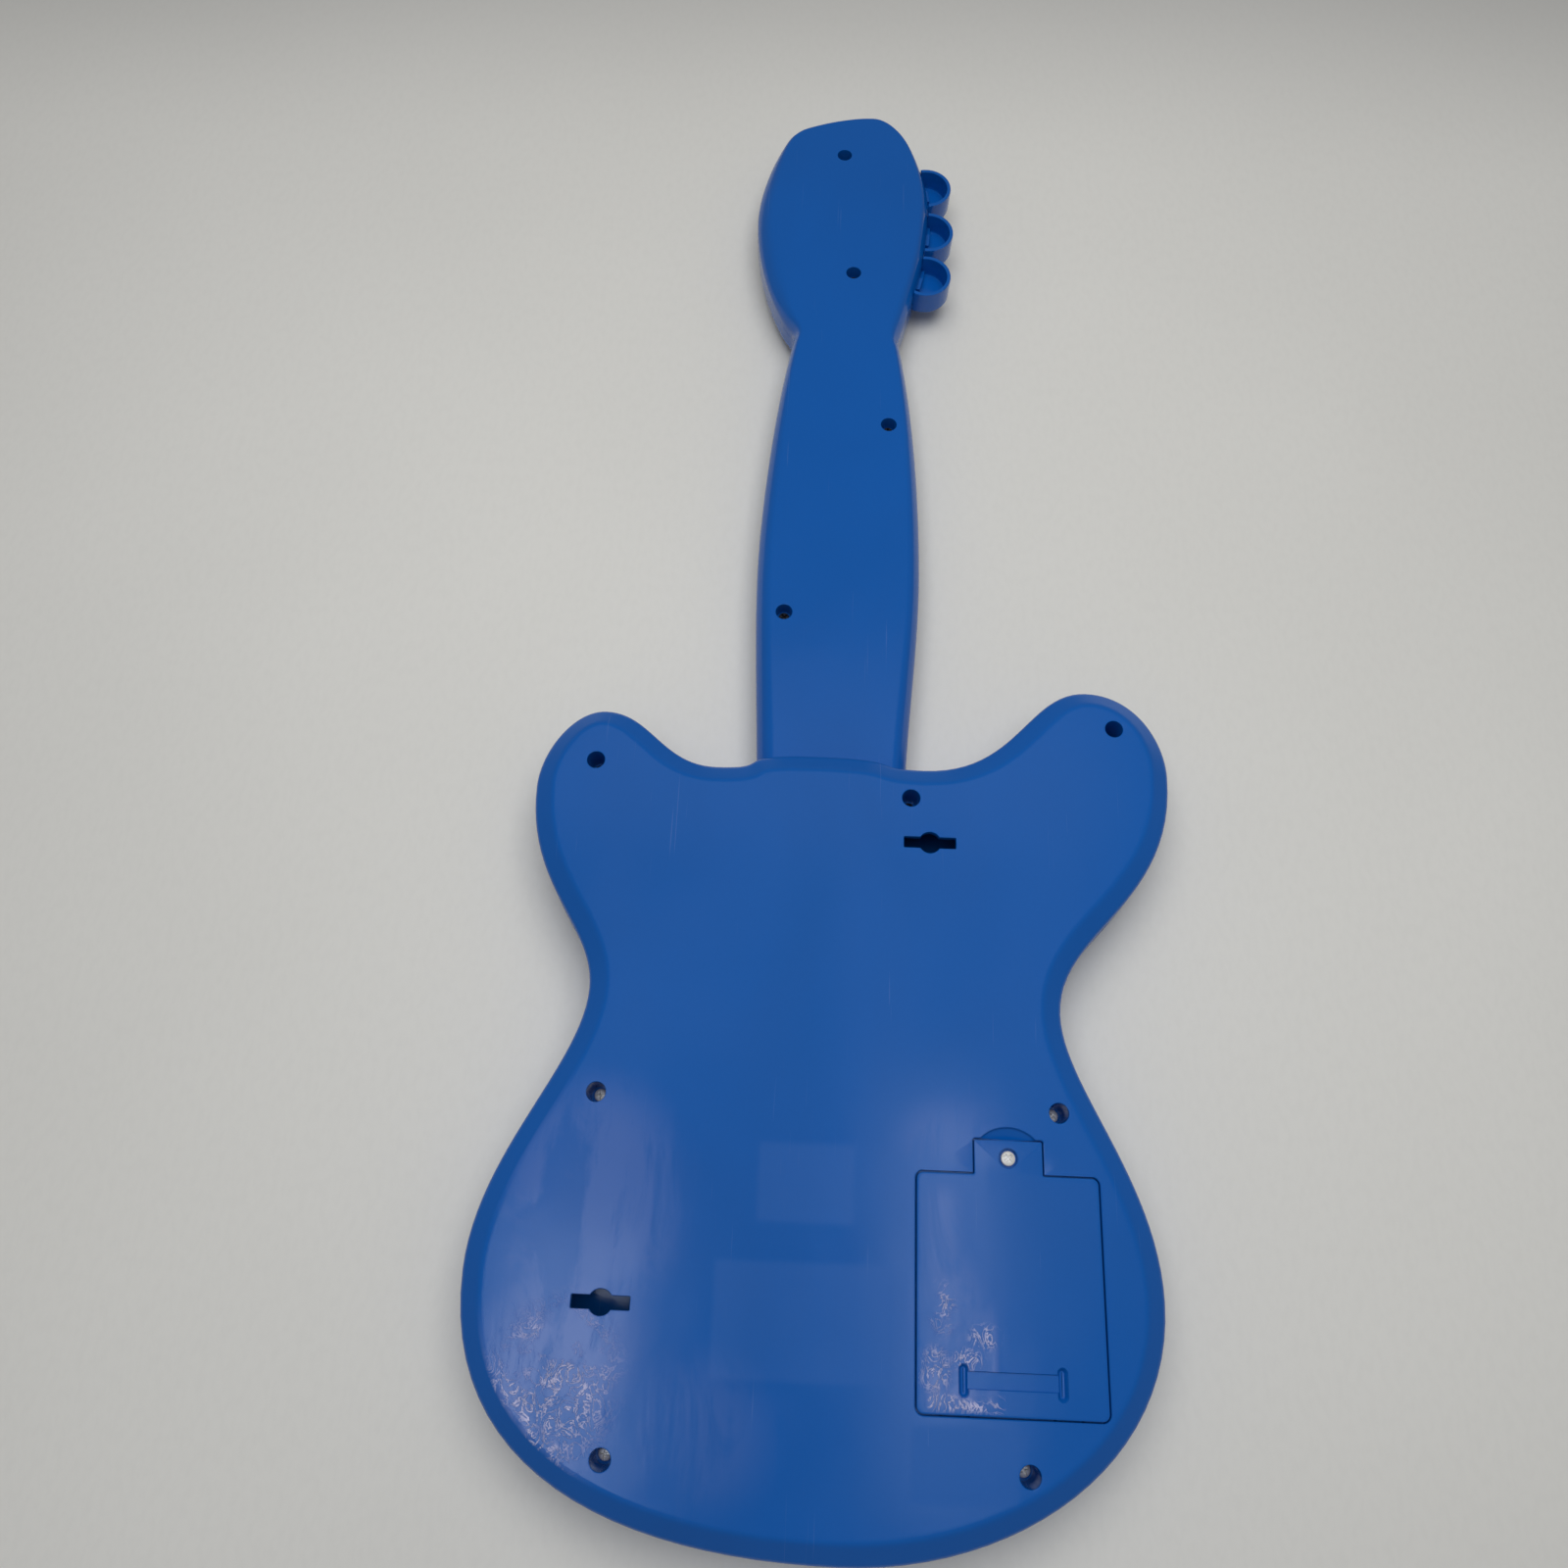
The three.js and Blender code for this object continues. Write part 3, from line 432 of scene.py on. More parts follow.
def cell_jacket():
    """Foil sleeve: dark below, copper-coloured above, bare steel at both ends."""
    material, tree, shader = new_material("cell_jacket", Metallic=0.6)
    place = add(tree, "TexCoord").outputs["Object"]
    y = add(tree, "SeparateXYZ", {0: place}).outputs[1]
    middle = (BAY_BOTTOM + BAY_TOP) / 2 * MM
    band = span(tree, y, middle + 9.8 * MM, middle + 10.2 * MM)
    dark = use(tree, UNEVEN_TONE, {"Colour": (0.018, 0.019, 0.022, 1), "Amount": 0.3}).outputs[0]
    colour = blend_colour(tree, band, dark, (0.52, 0.26, 0.10, 1))
    offset = add(tree, "Math", {0: y, 1: -middle}, operation="ADD").outputs[0]
    end = span(tree, maths(tree, "ABSOLUTE", offset), 23.9 * MM, 24.1 * MM)
    tree.links.new(blend_colour(tree, end, colour, (0.62, 0.62, 0.60, 1)), shader.inputs["Base Color"])
    rough_around(tree, shader, 0.28, 0.06, 200)
    bump_into(tree, shader, maths(tree, "ADD", band, end), 0.00005)
    return material


def rubber(name, colour):
    material, tree, shader = new_material(name, IOR=1.45)
    tone = use(tree, UNEVEN_TONE, {"Colour": (*colour, 1), "Amount": 0.25}).outputs[0]
    tree.links.new(tone, shader.inputs["Base Color"])
    rough_around(tree, shader, 0.62, 0.08, 90)
    height = use(tree, MOULDED_GRAIN, {"Grain": 0.4, "Ripple": 0.3}).outputs[0]
    bump_into(tree, shader, height, 0.00008)
    return material


def ribbon():
    """Grey flat cable with a groove between each two wires."""
    material, tree, shader = new_material("grey_ribbon", IOR=1.45)
    place = add(tree, "TexCoord").outputs["Object"]
    x = add(tree, "SeparateXYZ", {0: place}).outputs[0]
    wave = maths(tree, "SINE", maths(tree, "MULTIPLY", x, 2 * math.pi / (1.27 * MM)))
    tone = use(tree, UNEVEN_TONE, {"Colour": (0.40, 0.40, 0.39, 1), "Amount": 0.2}).outputs[0]
    # painted shade: the grooves between the wires are mixed towards dark grey
    colour = blend_colour(tree, span(tree, wave, -1, -0.6, 0.5, 0.0), tone, (0.12, 0.12, 0.12, 1))
    tree.links.new(colour, shader.inputs["Base Color"])
    rough_around(tree, shader, 0.45, 0.06, 90)
    bump_into(tree, shader, wave, 0.00008)
    return material


def lens_plastic():
    material, tree, shader = new_material("lens_plastic", IOR=1.49, Transmission_Weight=0.85)
    tone = use(tree, UNEVEN_TONE, {"Colour": (0.92, 0.80, 0.42, 1), "Amount": 0.1}).outputs[0]
    tree.links.new(tone, shader.inputs["Base Color"])
    rough_around(tree, shader, 0.14, 0.05, 120)
    rings = add(tree, "TexNoise", {"Vector": object_place(tree), "Scale": 500.0}).outputs[0]
    bump_into(tree, shader, rings, 0.00006)
    return material


FINISH = {
    "blue_shell_plastic": blue_plastic(),
    # metallic 0.4: the pale diffuse share is a painted sheen, lit by the overhead lamps that the screws
    # cannot reflect
    # the case screws from y = -0.1 m upwards take the painted shade
    "screw_steel": plated_metal("screw_steel", (0.90, 0.89, 0.87), 0.32, 0.4, -0.1),
    "switch_steel": plated_metal("switch_steel", (0.58, 0.58, 0.57), 0.34),
    "contact_steel": plated_metal("contact_steel", (0.72, 0.70, 0.66), 0.22),
    "white_plastic": moulded_plastic("white_plastic", (0.76, 0.75, 0.70), 0.30),
    "black_plastic": moulded_plastic("black_plastic", (0.012, 0.012, 0.013), 0.42, 0.3),
    "green_plastic": moulded_plastic("green_plastic", (0.02, 0.32, 0.05), 0.30),
    "red_plastic": moulded_plastic("red_plastic", (0.60, 0.022, 0.018), 0.30),
    "yellow_plastic": moulded_plastic("yellow_plastic", (0.82, 0.48, 0.015), 0.30),
    "sky_plastic": moulded_plastic("sky_plastic", (0.03, 0.24, 0.68), 0.30),
    "orange_plastic": moulded_plastic("orange_plastic", (0.82, 0.17, 0.012), 0.30),
    "lens_plastic": lens_plastic(),
    "circuit_board": circuit_board(),
    "grey_rubber": rubber("grey_rubber", (0.40, 0.40, 0.38)),
    "speaker_black": rubber("speaker_black", (0.018, 0.018, 0.020)),
    "red_wire": rubber("red_wire", (0.42, 0.018, 0.014)),
    "grey_ribbon": ribbon(),
    "cell_jacket": cell_jacket(),
}
SLOT_OF = {part["node"]: part["material_slot"] for part in frame["record"]["subparts"]}
BODY_OF = {n: b for b, nodes in frame["record"]["behaviour"]["bodies"].items() for n in nodes}


def wear(piece, slot):
    piece.data.materials.clear()
    piece.data.materials.append(FINISH[slot])


# ---- modelling helpers ----
def only(piece):
    bpy.ops.object.select_all(action="DESELECT")
    piece.select_set(True)
    bpy.context.view_layer.objects.active = piece


def outline(anchors, steps):
    """A closed line of points, in millimetres, through curve anchors."""
    bpy.ops.object.select_all(action="DESELECT")
    bpy.ops.curve.primitive_bezier_circle_add()
    curve = bpy.context.object
    spline = curve.data.splines[0]
    spline.bezier_points.add(len(anchors) - len(spline.bezier_points))
    for point, (x, y, heading, back, ahead) in zip(spline.bezier_points, anchors):
        point.handle_left_type = point.handle_right_type = "FREE"
        aim = Vector((math.cos(math.radians(heading)), math.sin(math.radians(heading)), 0))
        point.co = (x, y, 0)
        point.handle_left = point.co - aim * back
        point.handle_right = point.co + aim * ahead
    spline.resolution_u = steps
    bpy.ops.object.convert(target="MESH")
    piece = bpy.context.object
    line = np.array([v.co[:2] for v in piece.data.vertices])
    bpy.data.objects.remove(piece)
    apart = np.linalg.norm(line - np.roll(line, 1, axis=0), axis=1) > 0.05
    return line[apart]


def rounded(corners, steps=5):
    """A closed line through corners (x, y, radius), anticlockwise."""
    line = []
    for i, (x, y, radius) in enumerate(corners):
        here = Vector((x, y))
        before = (Vector(corners[i - 1][:2]) - here).normalized()
        after = (Vector(corners[(i + 1) % len(corners)][:2]) - here).normalized()
        if radius <= 0:
            line.append(here)
            continue
        reach = radius / math.tan(before.angle(after) / 2)
        start, end = here + before * reach, here + after * reach
        centre = here + (before + after).normalized() * radius / math.sin(before.angle(after) / 2)
        for step in range(steps + 1):
            mid = start.lerp(end, step / steps) - centre
            line.append(centre + mid.normalized() * radius)
    return np.array([tuple(p) for p in line])


def rectangle(x0, x1, y0, y1, radius=0.4):
    return rounded([(x0, y0, radius), (x1, y0, radius), (x1, y1, radius), (x0, y1, radius)], 3)


def distance_to_line(points, line):
    start, end = line, np.roll(line, -1, axis=0)
    along = end - start
    length = (along ** 2).sum(axis=1)
    away = points[:, None, :] - start[None, :, :]
    share = np.clip((away * along).sum(axis=2) / length, 0, 1)
    return np.linalg.norm(away - share[:, :, None] * along, axis=2).min(axis=1)


def inset_line(line, distance):
    """Moves a closed line inwards; points that cross at a tight corner slide together."""
    distance = np.broadcast_to(np.asarray(distance, dtype=float), (len(line),))
    before = line - np.roll(line, 1, axis=0)
    after = np.roll(line, -1, axis=0) - line
    before = before / np.linalg.norm(before, axis=1)[:, None]
    after = after / np.linalg.norm(after, axis=1)[:, None]
    both = before + after
    inward = np.column_stack((-both[:, 1], both[:, 0]))
    inward /= np.linalg.norm(inward, axis=1)[:, None]
    lean = (inward * np.column_stack((-after[:, 1], after[:, 0]))).sum(axis=1)
    moved = line + inward * (distance / np.maximum(lean, 0.3))[:, None]
    crossed = distance_to_line(moved, line) < np.abs(distance) * 0.97 - 0.01
    good = np.flatnonzero(~crossed)
    for i in np.flatnonzero(crossed):
        after_i = good[np.searchsorted(good, i) % len(good)]
        before_i = good[np.searchsorted(good, i) - 1]
        moved[i] = (moved[after_i] + moved[before_i]) / 2
    return moved


def lofted(name, line, rings, spread=1.0):
    """A closed solid through level rings of one line; spread widens the insets point by point."""
    bpy.ops.object.select_all(action="DESELECT")
    bpy.ops.mesh.primitive_circle_add(vertices=len(line), radius=1, fill_type="NGON")
    piece = bpy.context.object
    piece.name = name
    order = list(range(len(line)))
    bpy.ops.object.mode_set(mode="EDIT")
    for step, (inset, height) in enumerate(rings):
        bpy.ops.mesh.select_mode(type="FACE")
        if step:
            bpy.ops.mesh.extrude_region_move()
        shape = bmesh.from_edit_mesh(piece.data)
        cap = [face for face in shape.faces if face.select][0]
        loop = [corner.vert for corner in cap.loops]
        if step:
            first = min(range(len(loop)), key=lambda i: (loop[i].co.xy - Vector(last[0])).length)
            loop = loop[first:] + loop[:first]
            if (loop[1].co.xy - Vector(last[1])).length > (loop[-1].co.xy - Vector(last[1])).length:
                loop = [loop[0]] + loop[:0:-1]
        moved = inset_line(line, inset * spread) * MM
        for vertex, (x, y) in zip(loop, moved[order]):
            vertex.co = (x, y, height * MM)
        last = [tuple(p) for p in moved]
        bmesh.update_edit_mesh(piece.data)
    bpy.ops.mesh.select_all(action="SELECT")
    bpy.ops.mesh.remove_doubles(threshold=2e-6)
    bpy.ops.mesh.dissolve_degenerate(threshold=1e-6)
    bpy.ops.mesh.normals_make_consistent(inside=False)
    bpy.ops.object.mode_set(mode="OBJECT")
    return piece


def block(x0, x1, y0, y1, z0, z1, radius=0.4):
    return lofted("block", rectangle(x0, x1, y0, y1, radius), [(0, z0), (0, z1)])


def turned(name, x, y, profile, sides=40):
    """A round piece about a level-to-level axis: profile is a list of (radius, height)."""
    bpy.ops.object.select_all(action="DESELECT")
    (radius, height), rest = profile[0], profile[1:]
    bpy.ops.mesh.primitive_circle_add(vertices=sides, radius=radius * MM, fill_type="NGON",
                                      location=(x * MM, y * MM, height * MM))
    piece = bpy.context.object
    piece.name = name
    bpy.ops.object.transform_apply(location=True, rotation=True, scale=True)
    bpy.ops.object.mode_set(mode="EDIT")
    bpy.ops.mesh.select_mode(type="FACE")
    for new_radius, new_height in rest:
        rise = (0, 0, (new_height - height) * MM)
        bpy.ops.mesh.extrude_region_move(TRANSFORM_OT_translate={"value": rise})
        scale = new_radius / radius
        bpy.ops.transform.resize(value=(scale, scale, 1), center_override=(x * MM, y * MM, new_height * MM))
        radius, height = new_radius, new_height
    bpy.ops.mesh.select_all(action="SELECT")
    bpy.ops.mesh.normals_make_consistent(inside=False)
    bpy.ops.object.mode_set(mode="OBJECT")
    return piece


def combine(target, others, operation):
    for other in others:
        only(target)
        change = target.modifiers.new("change", "BOOLEAN")
        change.operation = operation
        change.solver = "MANIFOLD"
        change.object = other
        bpy.ops.object.modifier_apply(modifier=change.name)
        bpy.data.objects.remove(other)
    return target


def add_to(target, others):
    return combine(target, others, "UNION")


def cut_from(target, others):
    return combine(target, others, "DIFFERENCE")


def smooth(piece, angle=32):
    only(piece)
    bpy.ops.object.mode_set(mode="EDIT")
    bpy.ops.mesh.select_all(action="SELECT")
    bpy.ops.mesh.remove_doubles(threshold=1e-6)
    bpy.ops.mesh.dissolve_degenerate(threshold=1e-6)
    bpy.ops.object.mode_set(mode="OBJECT")
    bpy.ops.object.shade_smooth_by_angle(angle=math.radians(angle))
    weigh = piece.modifiers.new("weigh", "WEIGHTED_NORMAL")
    weigh.mode, weigh.weight, weigh.keep_sharp = "FACE_AREA", 60, True
    bpy.ops.object.modifier_apply(modifier=weigh.name)
    return piece


def stands_for(piece, *nodes, slot=None):
    """The piece takes the body, the finish and the place of its CAD nodes."""
    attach(piece, BODY_OF[nodes[0]])
    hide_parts(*nodes)
    slot = slot or SLOT_OF[nodes[0]]
    wear(piece, slot)


def copy_of(piece, name):
    only(piece)
    bpy.ops.object.duplicate()
    copy = bpy.context.object
    copy.name = name
    return copy


def eased(node, width):
    """A CAD node with its edges rounded."""
    source = bpy.data.objects[node]
    copy = copy_of(source, node + "_eased")
    bpy.ops.object.mode_set(mode="EDIT")
    bpy.ops.mesh.select_all(action="SELECT")
    bpy.ops.mesh.remove_doubles(threshold=2e-6)
    bpy.ops.mesh.dissolve_limited(angle_limit=math.radians(1))
    bpy.ops.object.mode_set(mode="OBJECT")
    edge = copy.modifiers.new("edge", "BEVEL")
    edge.width, edge.segments, edge.limit_method = width * MM, 3, "ANGLE"
    edge.angle_limit = math.radians(40)
    bpy.ops.object.modifier_apply(modifier=edge.name)
    smooth(copy, 40)
    stands_for(copy, node)
    return copy


# ---- casing ----
BODY_LINE, NECK_LINE = outline(BODY, 24), outline(NECK, 20)


def neck_spread():
    """The rounding of the neck's edge: narrow at the nut, broad round the headstock."""
    x, y = NECK_LINE.T
    left = [(-45, 1.12), (90, 0.9), (146, 0.55), (156, 0.6), (175, 1.25), (235, 1.1), (255, 0.55),
            (270, 0.3)]
    right = [(-45, 0.95), (90, 0.8), (146, 0.55), (156, 0.75), (170, 0.85), (235, 0.6), (255, 0.4),
             (270, 0.3)]
    left, right = (np.interp(y, *zip(*side)) for side in (left, right))
    return np.where(x < NECK_X, left, right)


def on_body(place):
    return place[1] < -20 or abs(place[0]) > 60


def back_of(place):
    return BACK_Z if on_body(place) else NECK_Z


def well_floor(place):
    return BACK_Z - WELL_DEPTH if on_body(place) else NECK_Z - NECK_WELL_DEPTH


def tab_line():
    left, right = TAB_X - TAB_HALF, TAB_X + TAB_HALF
    return rounded([
        (DOOR_LEFT, DOOR_BOTTOM, 2), (DOOR_RIGHT, DOOR_BOTTOM, 2), (DOOR_RIGHT, DOOR_TOP, 2),
        (right, DOOR_TOP, 0.5), (right, TAB_TOP, 0.5), (left, TAB_TOP, 0.5), (left, DOOR_TOP, 0.5),
        (DOOR_LEFT, DOOR_TOP, 2)])


def well_cutter(place):
    x, y = place
    top, floor = back_of(place), well_floor(place)
    return turned("well", x, y, [(WELL_R, floor), (WELL_R, top - 0.35), (WELL_R + 0.12, top - 0.12),
                                 (WELL_R + 0.4, top + 0.02), (WELL_R + 0.4, top + 4)], 36)


def tie_cutter(place):
    x, y = place
    slot = lofted("tie", rectangle(x - 8.5, x + 8.5, y - 1.85, y + 1.85, 0.3),
                  [(0, 25), (0, 32.7), (-0.12, 32.9), (-0.35, 33.02), (-0.35, 40)])
    ring = turned("ring", x, y, [(3.6, 25), (3.6, 32.7), (3.72, 32.9), (3.95, 33.02), (3.95, 40)], 36)
    return add_to(slot, [ring])


def tuner_tab(place, clearance):
    x, y = place
    return block(x - 9 - clearance, x + 4, y - 3 - clearance, y + 3 + clearance,
                 SEAM_Z - 1.5 - clearance, SEAM_Z + 1.5 + clearance, 0.2)


def bay_walls():
    rim = BACK_Z - DOOR_THICK - 2.3
    walls = block(21.5, 79.8, -235.6, -164.5, rim, BACK_Z - 1.8, 4)
    return add_to(walls, [
        block(38.5, 63.5, -166, -151, rim, BACK_Z - 1.8),
        block(BAY_LEFT - WALL, BAY_RIGHT + WALL, BAY_BOTTOM - WALL, BAY_TOP + WALL, SEAM_Z + 0.4, rim + 1),
        turned("post", TAB_X, TAB_SCREW_Y, [(4.5, 18), (4.5, rim + 1)]),
    ])


def finger_notch():
    radius = 11.8
    middle = TAB_TOP + 3.75 - radius
    dish = turned("dish", TAB_X, middle, [(6.5, BACK_Z - 3), (radius - 0.5, BACK_Z - 1.05),
                                          (radius - 0.1, BACK_Z - 0.7), (radius, BACK_Z - 0.25),
                                          (radius + 0.3, BACK_Z + 0.02), (radius + 0.3, BACK_Z + 5)], 72)
    return combine(dish, [block(30, 72, TAB_TOP, -140, 20, 50)], "INTERSECT")


def back_shell():
    shell = lofted("back_casing", BODY_LINE, BODY_RINGS)
    add_to(shell, [lofted("neck", NECK_LINE, NECK_RINGS, neck_spread())])
    inside = lofted("inside", BODY_LINE, BODY_HOLLOW)
    add_to(inside, [lofted("neck_inside", NECK_LINE, NECK_HOLLOW)])
    cut_from(shell, [inside])
    bosses = [turned("boss", s[0], s[1], [(4.5, SEAM_Z + GAP / 2), (4.5, back_of(s) - 1)]) for s in SCREWS]
    add_to(shell, bosses + [bay_walls()])
    cutters = [well_cutter(s) for s in SCREWS]
    cutters += [turned("bore", s[0], s[1], [(BORE_R, 0), (BORE_R, 40)], 20) for s in SCREWS]
    cutters += [tie_cutter(s) for s in TIE_SLOTS] + [tuner_tab(t, GAP) for t in TUNERS]
    gap, floor = 0.35, BACK_Z - DOOR_THICK - GAP
    cutters.append(lofted("recess", tab_line(), [(-gap, floor), (-gap, 32.55), (-gap - 0.1, 32.82),
                                                 (-gap - 0.4, 33.02), (-gap - 0.4, 40)]))
    cutters += [finger_notch(), block(BAY_LEFT, BAY_RIGHT, BAY_BOTTOM, BAY_TOP, BAY_FLOOR, 40, 1)]
    cutters += [block(x - 4.3, x + 4.3, -234.6, -226, 27.5, floor + 0.2) for x in TONGUES]
    cutters.append(turned("door_bore", TAB_X, TAB_SCREW_Y, [(2.7, 20), (2.7, 40)], 24))
    cut_from(shell, cutters)
    smooth(shell)
    stands_for(shell, "back_shell")


def key_y(i):
    return KEY_TOP_Y - i * KEY_PITCH


def front_openings():
    half = STRUM_LENGTH / 2 + 0.6
    top = FRONT_Z + WALL + 1
    openings = [
        block(NECK_X - 5, NECK_X + 5, STRUM_Y - half, STRUM_Y + half, -1, top, 0.8),
        block(SWITCH_X - 3.3, SWITCH_X + 3.3, SWITCH_Y - 5.3, SWITCH_Y + SWITCH_TRAVEL + 5.3, -1, top, 0.5),
        turned("lens_hole", LENS_X, LENS_Y, [(LENS_R + GAP, -1), (LENS_R + GAP, top)]),
    ]
    openings += [turned("button_hole", x, y, [(6.9, -1), (6.9, top)]) for x, y in BUTTONS]
    for row in (-2, -1, 0, 1, 2):
        reach, y = 19 - 3 * abs(row), SPEAKER_Y + row * 7.5
        openings.append(block(SPEAKER_X - reach, SPEAKER_X + reach, y - 1.5, y + 1.5, -1, top, 1.4))
    return openings


def key_windows():
    w, h = KEY_W / 2 + KEY_CLEARANCE, KEY_H / 2 + KEY_CLEARANCE
    return [block(NECK_X - w, NECK_X + w, key_y(i) - h, key_y(i) + h, -1, FRONT_Z + WALL + 1, 0.6)
            for i in range(5)]


def axle_post(side):
    y = STRUM_Y + side * (STRUM_LENGTH / 2 + 3)
    post = block(NECK_X - 3.5, NECK_X + 3.5, y - 1.5, y + 1.5, FRONT_Z + 1, STRUM_Z + 2.5)
    return cut_from(post, [block(NECK_X - 1.3, NECK_X + 1.3, y - 2, y + 2, STRUM_Z - 1.3, 20, 0.1)])


def front_shell():
    shell = lofted("front_casing", BODY_LINE, BODY_FRONT_RINGS)
    add_to(shell, [lofted("neck_front", NECK_LINE, NECK_FRONT_RINGS)])
    cut_from(shell, [block(-60, 60, NUT_Y + 6, 300, FRONT_Z - 3, HEAD_FRONT_Z)])
    inside = lofted("neck_inside", NECK_LINE, FRONT_HOLLOW)
    cut_from(inside, [block(-60, 60, NUT_Y + 4, 300, FRONT_Z, HEAD_FRONT_Z + WALL)])
    add_to(inside, [lofted("inside", BODY_LINE, FRONT_HOLLOW)])
    cut_from(shell, [inside])
    bosses = []
    for x, y in SCREWS:
        foot = HEAD_FRONT_Z if y > NUT_Y else FRONT_Z
        bosses.append(turned("boss", x, y, [(3.6, foot + 1), (3.6, SEAM_Z - GAP / 2)]))
    ring = turned("ring", SPEAKER_X, SPEAKER_Y, [(SPEAKER_R + 2.3, FRONT_Z + 1), (SPEAKER_R + 2.3, 9)], 64)
    cut_from(ring, [turned("bore", SPEAKER_X, SPEAKER_Y, [(SPEAKER_R + GAP, FRONT_Z), (SPEAKER_R + GAP, 12)],
                           64)])
    add_to(shell, bosses + [ring, axle_post(-1), axle_post(1)])
    cutters = [tuner_tab(t, GAP) for t in TUNERS] + key_windows() + front_openings()
    for x, y in SCREWS:
        foot = HEAD_FRONT_Z + 1.6 if y > NUT_Y else FRONT_Z + 2.6
        cutters.append(turned("bore", x, y, [(BORE_R, foot), (BORE_R, 40)], 20))
    cut_from(shell, cutters)
    smooth(shell)
    stands_for(shell, "front_shell")


def tuner_pegs():
    web_line = inset_line(NECK_LINE, -1.4)
    outer, inner, low, rim = TUNER_R, TUNER_HOLLOW_R, TUNER_LOW, TUNER_RIM
    cups = [turned("cup", x, y, [(outer - 0.8, low), (outer - 0.2, low + 0.3), (outer, low + 0.9),
                                 (outer, rim - 0.5), (outer - 0.14, rim - 0.15), (outer - 0.5, rim)], 64)
            for x, y in TUNERS]
    strip = add_to(cups[0], cups[1:])
    strip.name = "tuning_pegs"
    hollows = [turned("hollow", x, y, [(inner - 1.1, low + 1.6), (inner - 0.3, low + 1.9),
                                       (inner, low + 2.8), (inner, rim - 0.4), (inner + 0.15, rim - 0.1),
                                       (inner + 0.5, rim + 0.02), (inner + 0.5, 40)], 64)
               for x, y in TUNERS]
    hollow = add_to(hollows[0], hollows[1:])
    cut_from(hollow, [lofted("web_room", web_line, [(0, 0), (0, WEB_TOP)])])
    cut_from(strip, [hollow])
    web = lofted("web", web_line, [(0, low), (0, WEB_TOP)])
    combine(web, [block(10, 60, 178, 240, 0, 40)], "INTERSECT")
    add_to(strip, [web])
    cut_from(strip, [lofted("beside_head", inset_line(NECK_LINE, -0.06), [(0, 0), (0, 40)])])
    tabs = [tuner_tab(t, 0) for t in TUNERS]
    tab = add_to(tabs[0], tabs[1:])
    combine(tab, [lofted("reach", inset_line(NECK_LINE, -1.3), [(0, 0), (0, 40)])], "INTERSECT")
    add_to(strip, [tab])
    smooth(strip)
    stands_for(strip, "tuner_pegs")


def battery_door():
    low = BACK_Z - DOOR_THICK
    door = lofted("door_panel", tab_line(), [(0.3, low), (0, low + 0.3), (0, 32.6), (0.1, 32.85),
                                             (0.35, 32.98), (0.6, 33), (1.2, 33)])
    for x in TONGUES:
        add_to(door, [block(x - 3.5, x + 3.5, -234, -229, low - 1.7, low - 0.5),
                      block(x - 3.5, x + 3.5, -230.9, -229, low - 1.7, low + 0.5)])
    bar = lofted("bar", rectangle(37.5, 64.4, -224.3, -220, 0.4),
                 [(0, BACK_Z - 0.6), (-0.05, BACK_Z - 0.25), (-0.3, BACK_Z + 0.02), (-0.3, 40)])
    ends = [lofted("end", rectangle(x - 1.25, x + 1.25, GRIP_BOTTOM, GRIP_TOP, 1.2),
                   [(1, BACK_Z - 1.6), (0.6, BACK_Z - 1.45), (0.1, BACK_Z - 0.5), (-0.35, BACK_Z + 0.02),
                    (-0.35, 40)]) for x in GRIP_ENDS]
    seat = turned("seat", TAB_X, TAB_SCREW_Y, [(2.75, BACK_Z - 1.6), (2.75, BACK_Z - 0.35),
                                               (3.05, BACK_Z + 0.02), (3.05, 40)], 40)
    bore = turned("bore", TAB_X, TAB_SCREW_Y, [(1.8, 20), (1.8, 40)], 24)
    cut_from(door, [bar] + ends + [seat, bore])
    smooth(door)
    stands_for(door, "battery_door")


# ---- screws ----
def cross_recess(x, y, top, reach, depth, turn):
    """The four-armed driver recess of a screw head."""
    arms = []
    for quarter in (0, 90):
        arm = lofted("arm", rectangle(-reach, reach, -0.26 * reach, 0.26 * reach, 0.12),
                     [(0.16, top - depth), (-0.02, top - depth * 0.3), (-0.08, top + 2)])
        arm.rotation_euler = (0, 0, math.radians(turn + quarter))
        arm.location = (x * MM, y * MM, 0)
        only(arm)
        bpy.ops.object.transform_apply(location=True, rotation=True, scale=True)
        arms.append(arm)
    return add_to(arms[0], arms[1:])


def threaded(name, x, y, tip, seat, radius):
    """A pointed shank with its thread as a stack of ridges."""
    profile, z = [(0.25, tip), (radius * 0.8, tip + 1.4)], tip + 1.6
    while z < seat - 1.2:
        profile += [(radius * 0.8, z), (radius, z + 0.25), (radius * 0.8, z + 0.5)]
        z += 0.9
    return turned(name, x, y, profile + [(radius * 0.85, seat)], 16)


def case_screws():
    for i, place in enumerate(SCREWS):
        x, y = place
        seat = well_floor(place) + 0.1
        tip = HEAD_FRONT_Z + 2.2 if y > NUT_Y else 7.4
        screw = threaded(f"screw_{i + 1}", x, y, tip, seat, 1.35)
        head = turned("head", x, y, [(1.1, seat - 0.05), (1.95, seat), (2, seat + 0.15), (2, seat + 0.9),
                                     (1.92, seat + 1.25), (1.7, seat + 1.5), (1.3, seat + 1.64),
                                     (0.7, seat + 1.72), (0.2, seat + 1.73)], 36)
        cut_from(head, [cross_recess(x, y, seat + 1.7, 1.4, 1.3, 17 + 37 * i)])
        add_to(screw, [head])
        smooth(screw, 38)
        stands_for(screw, f"case_screw_{i + 1}")


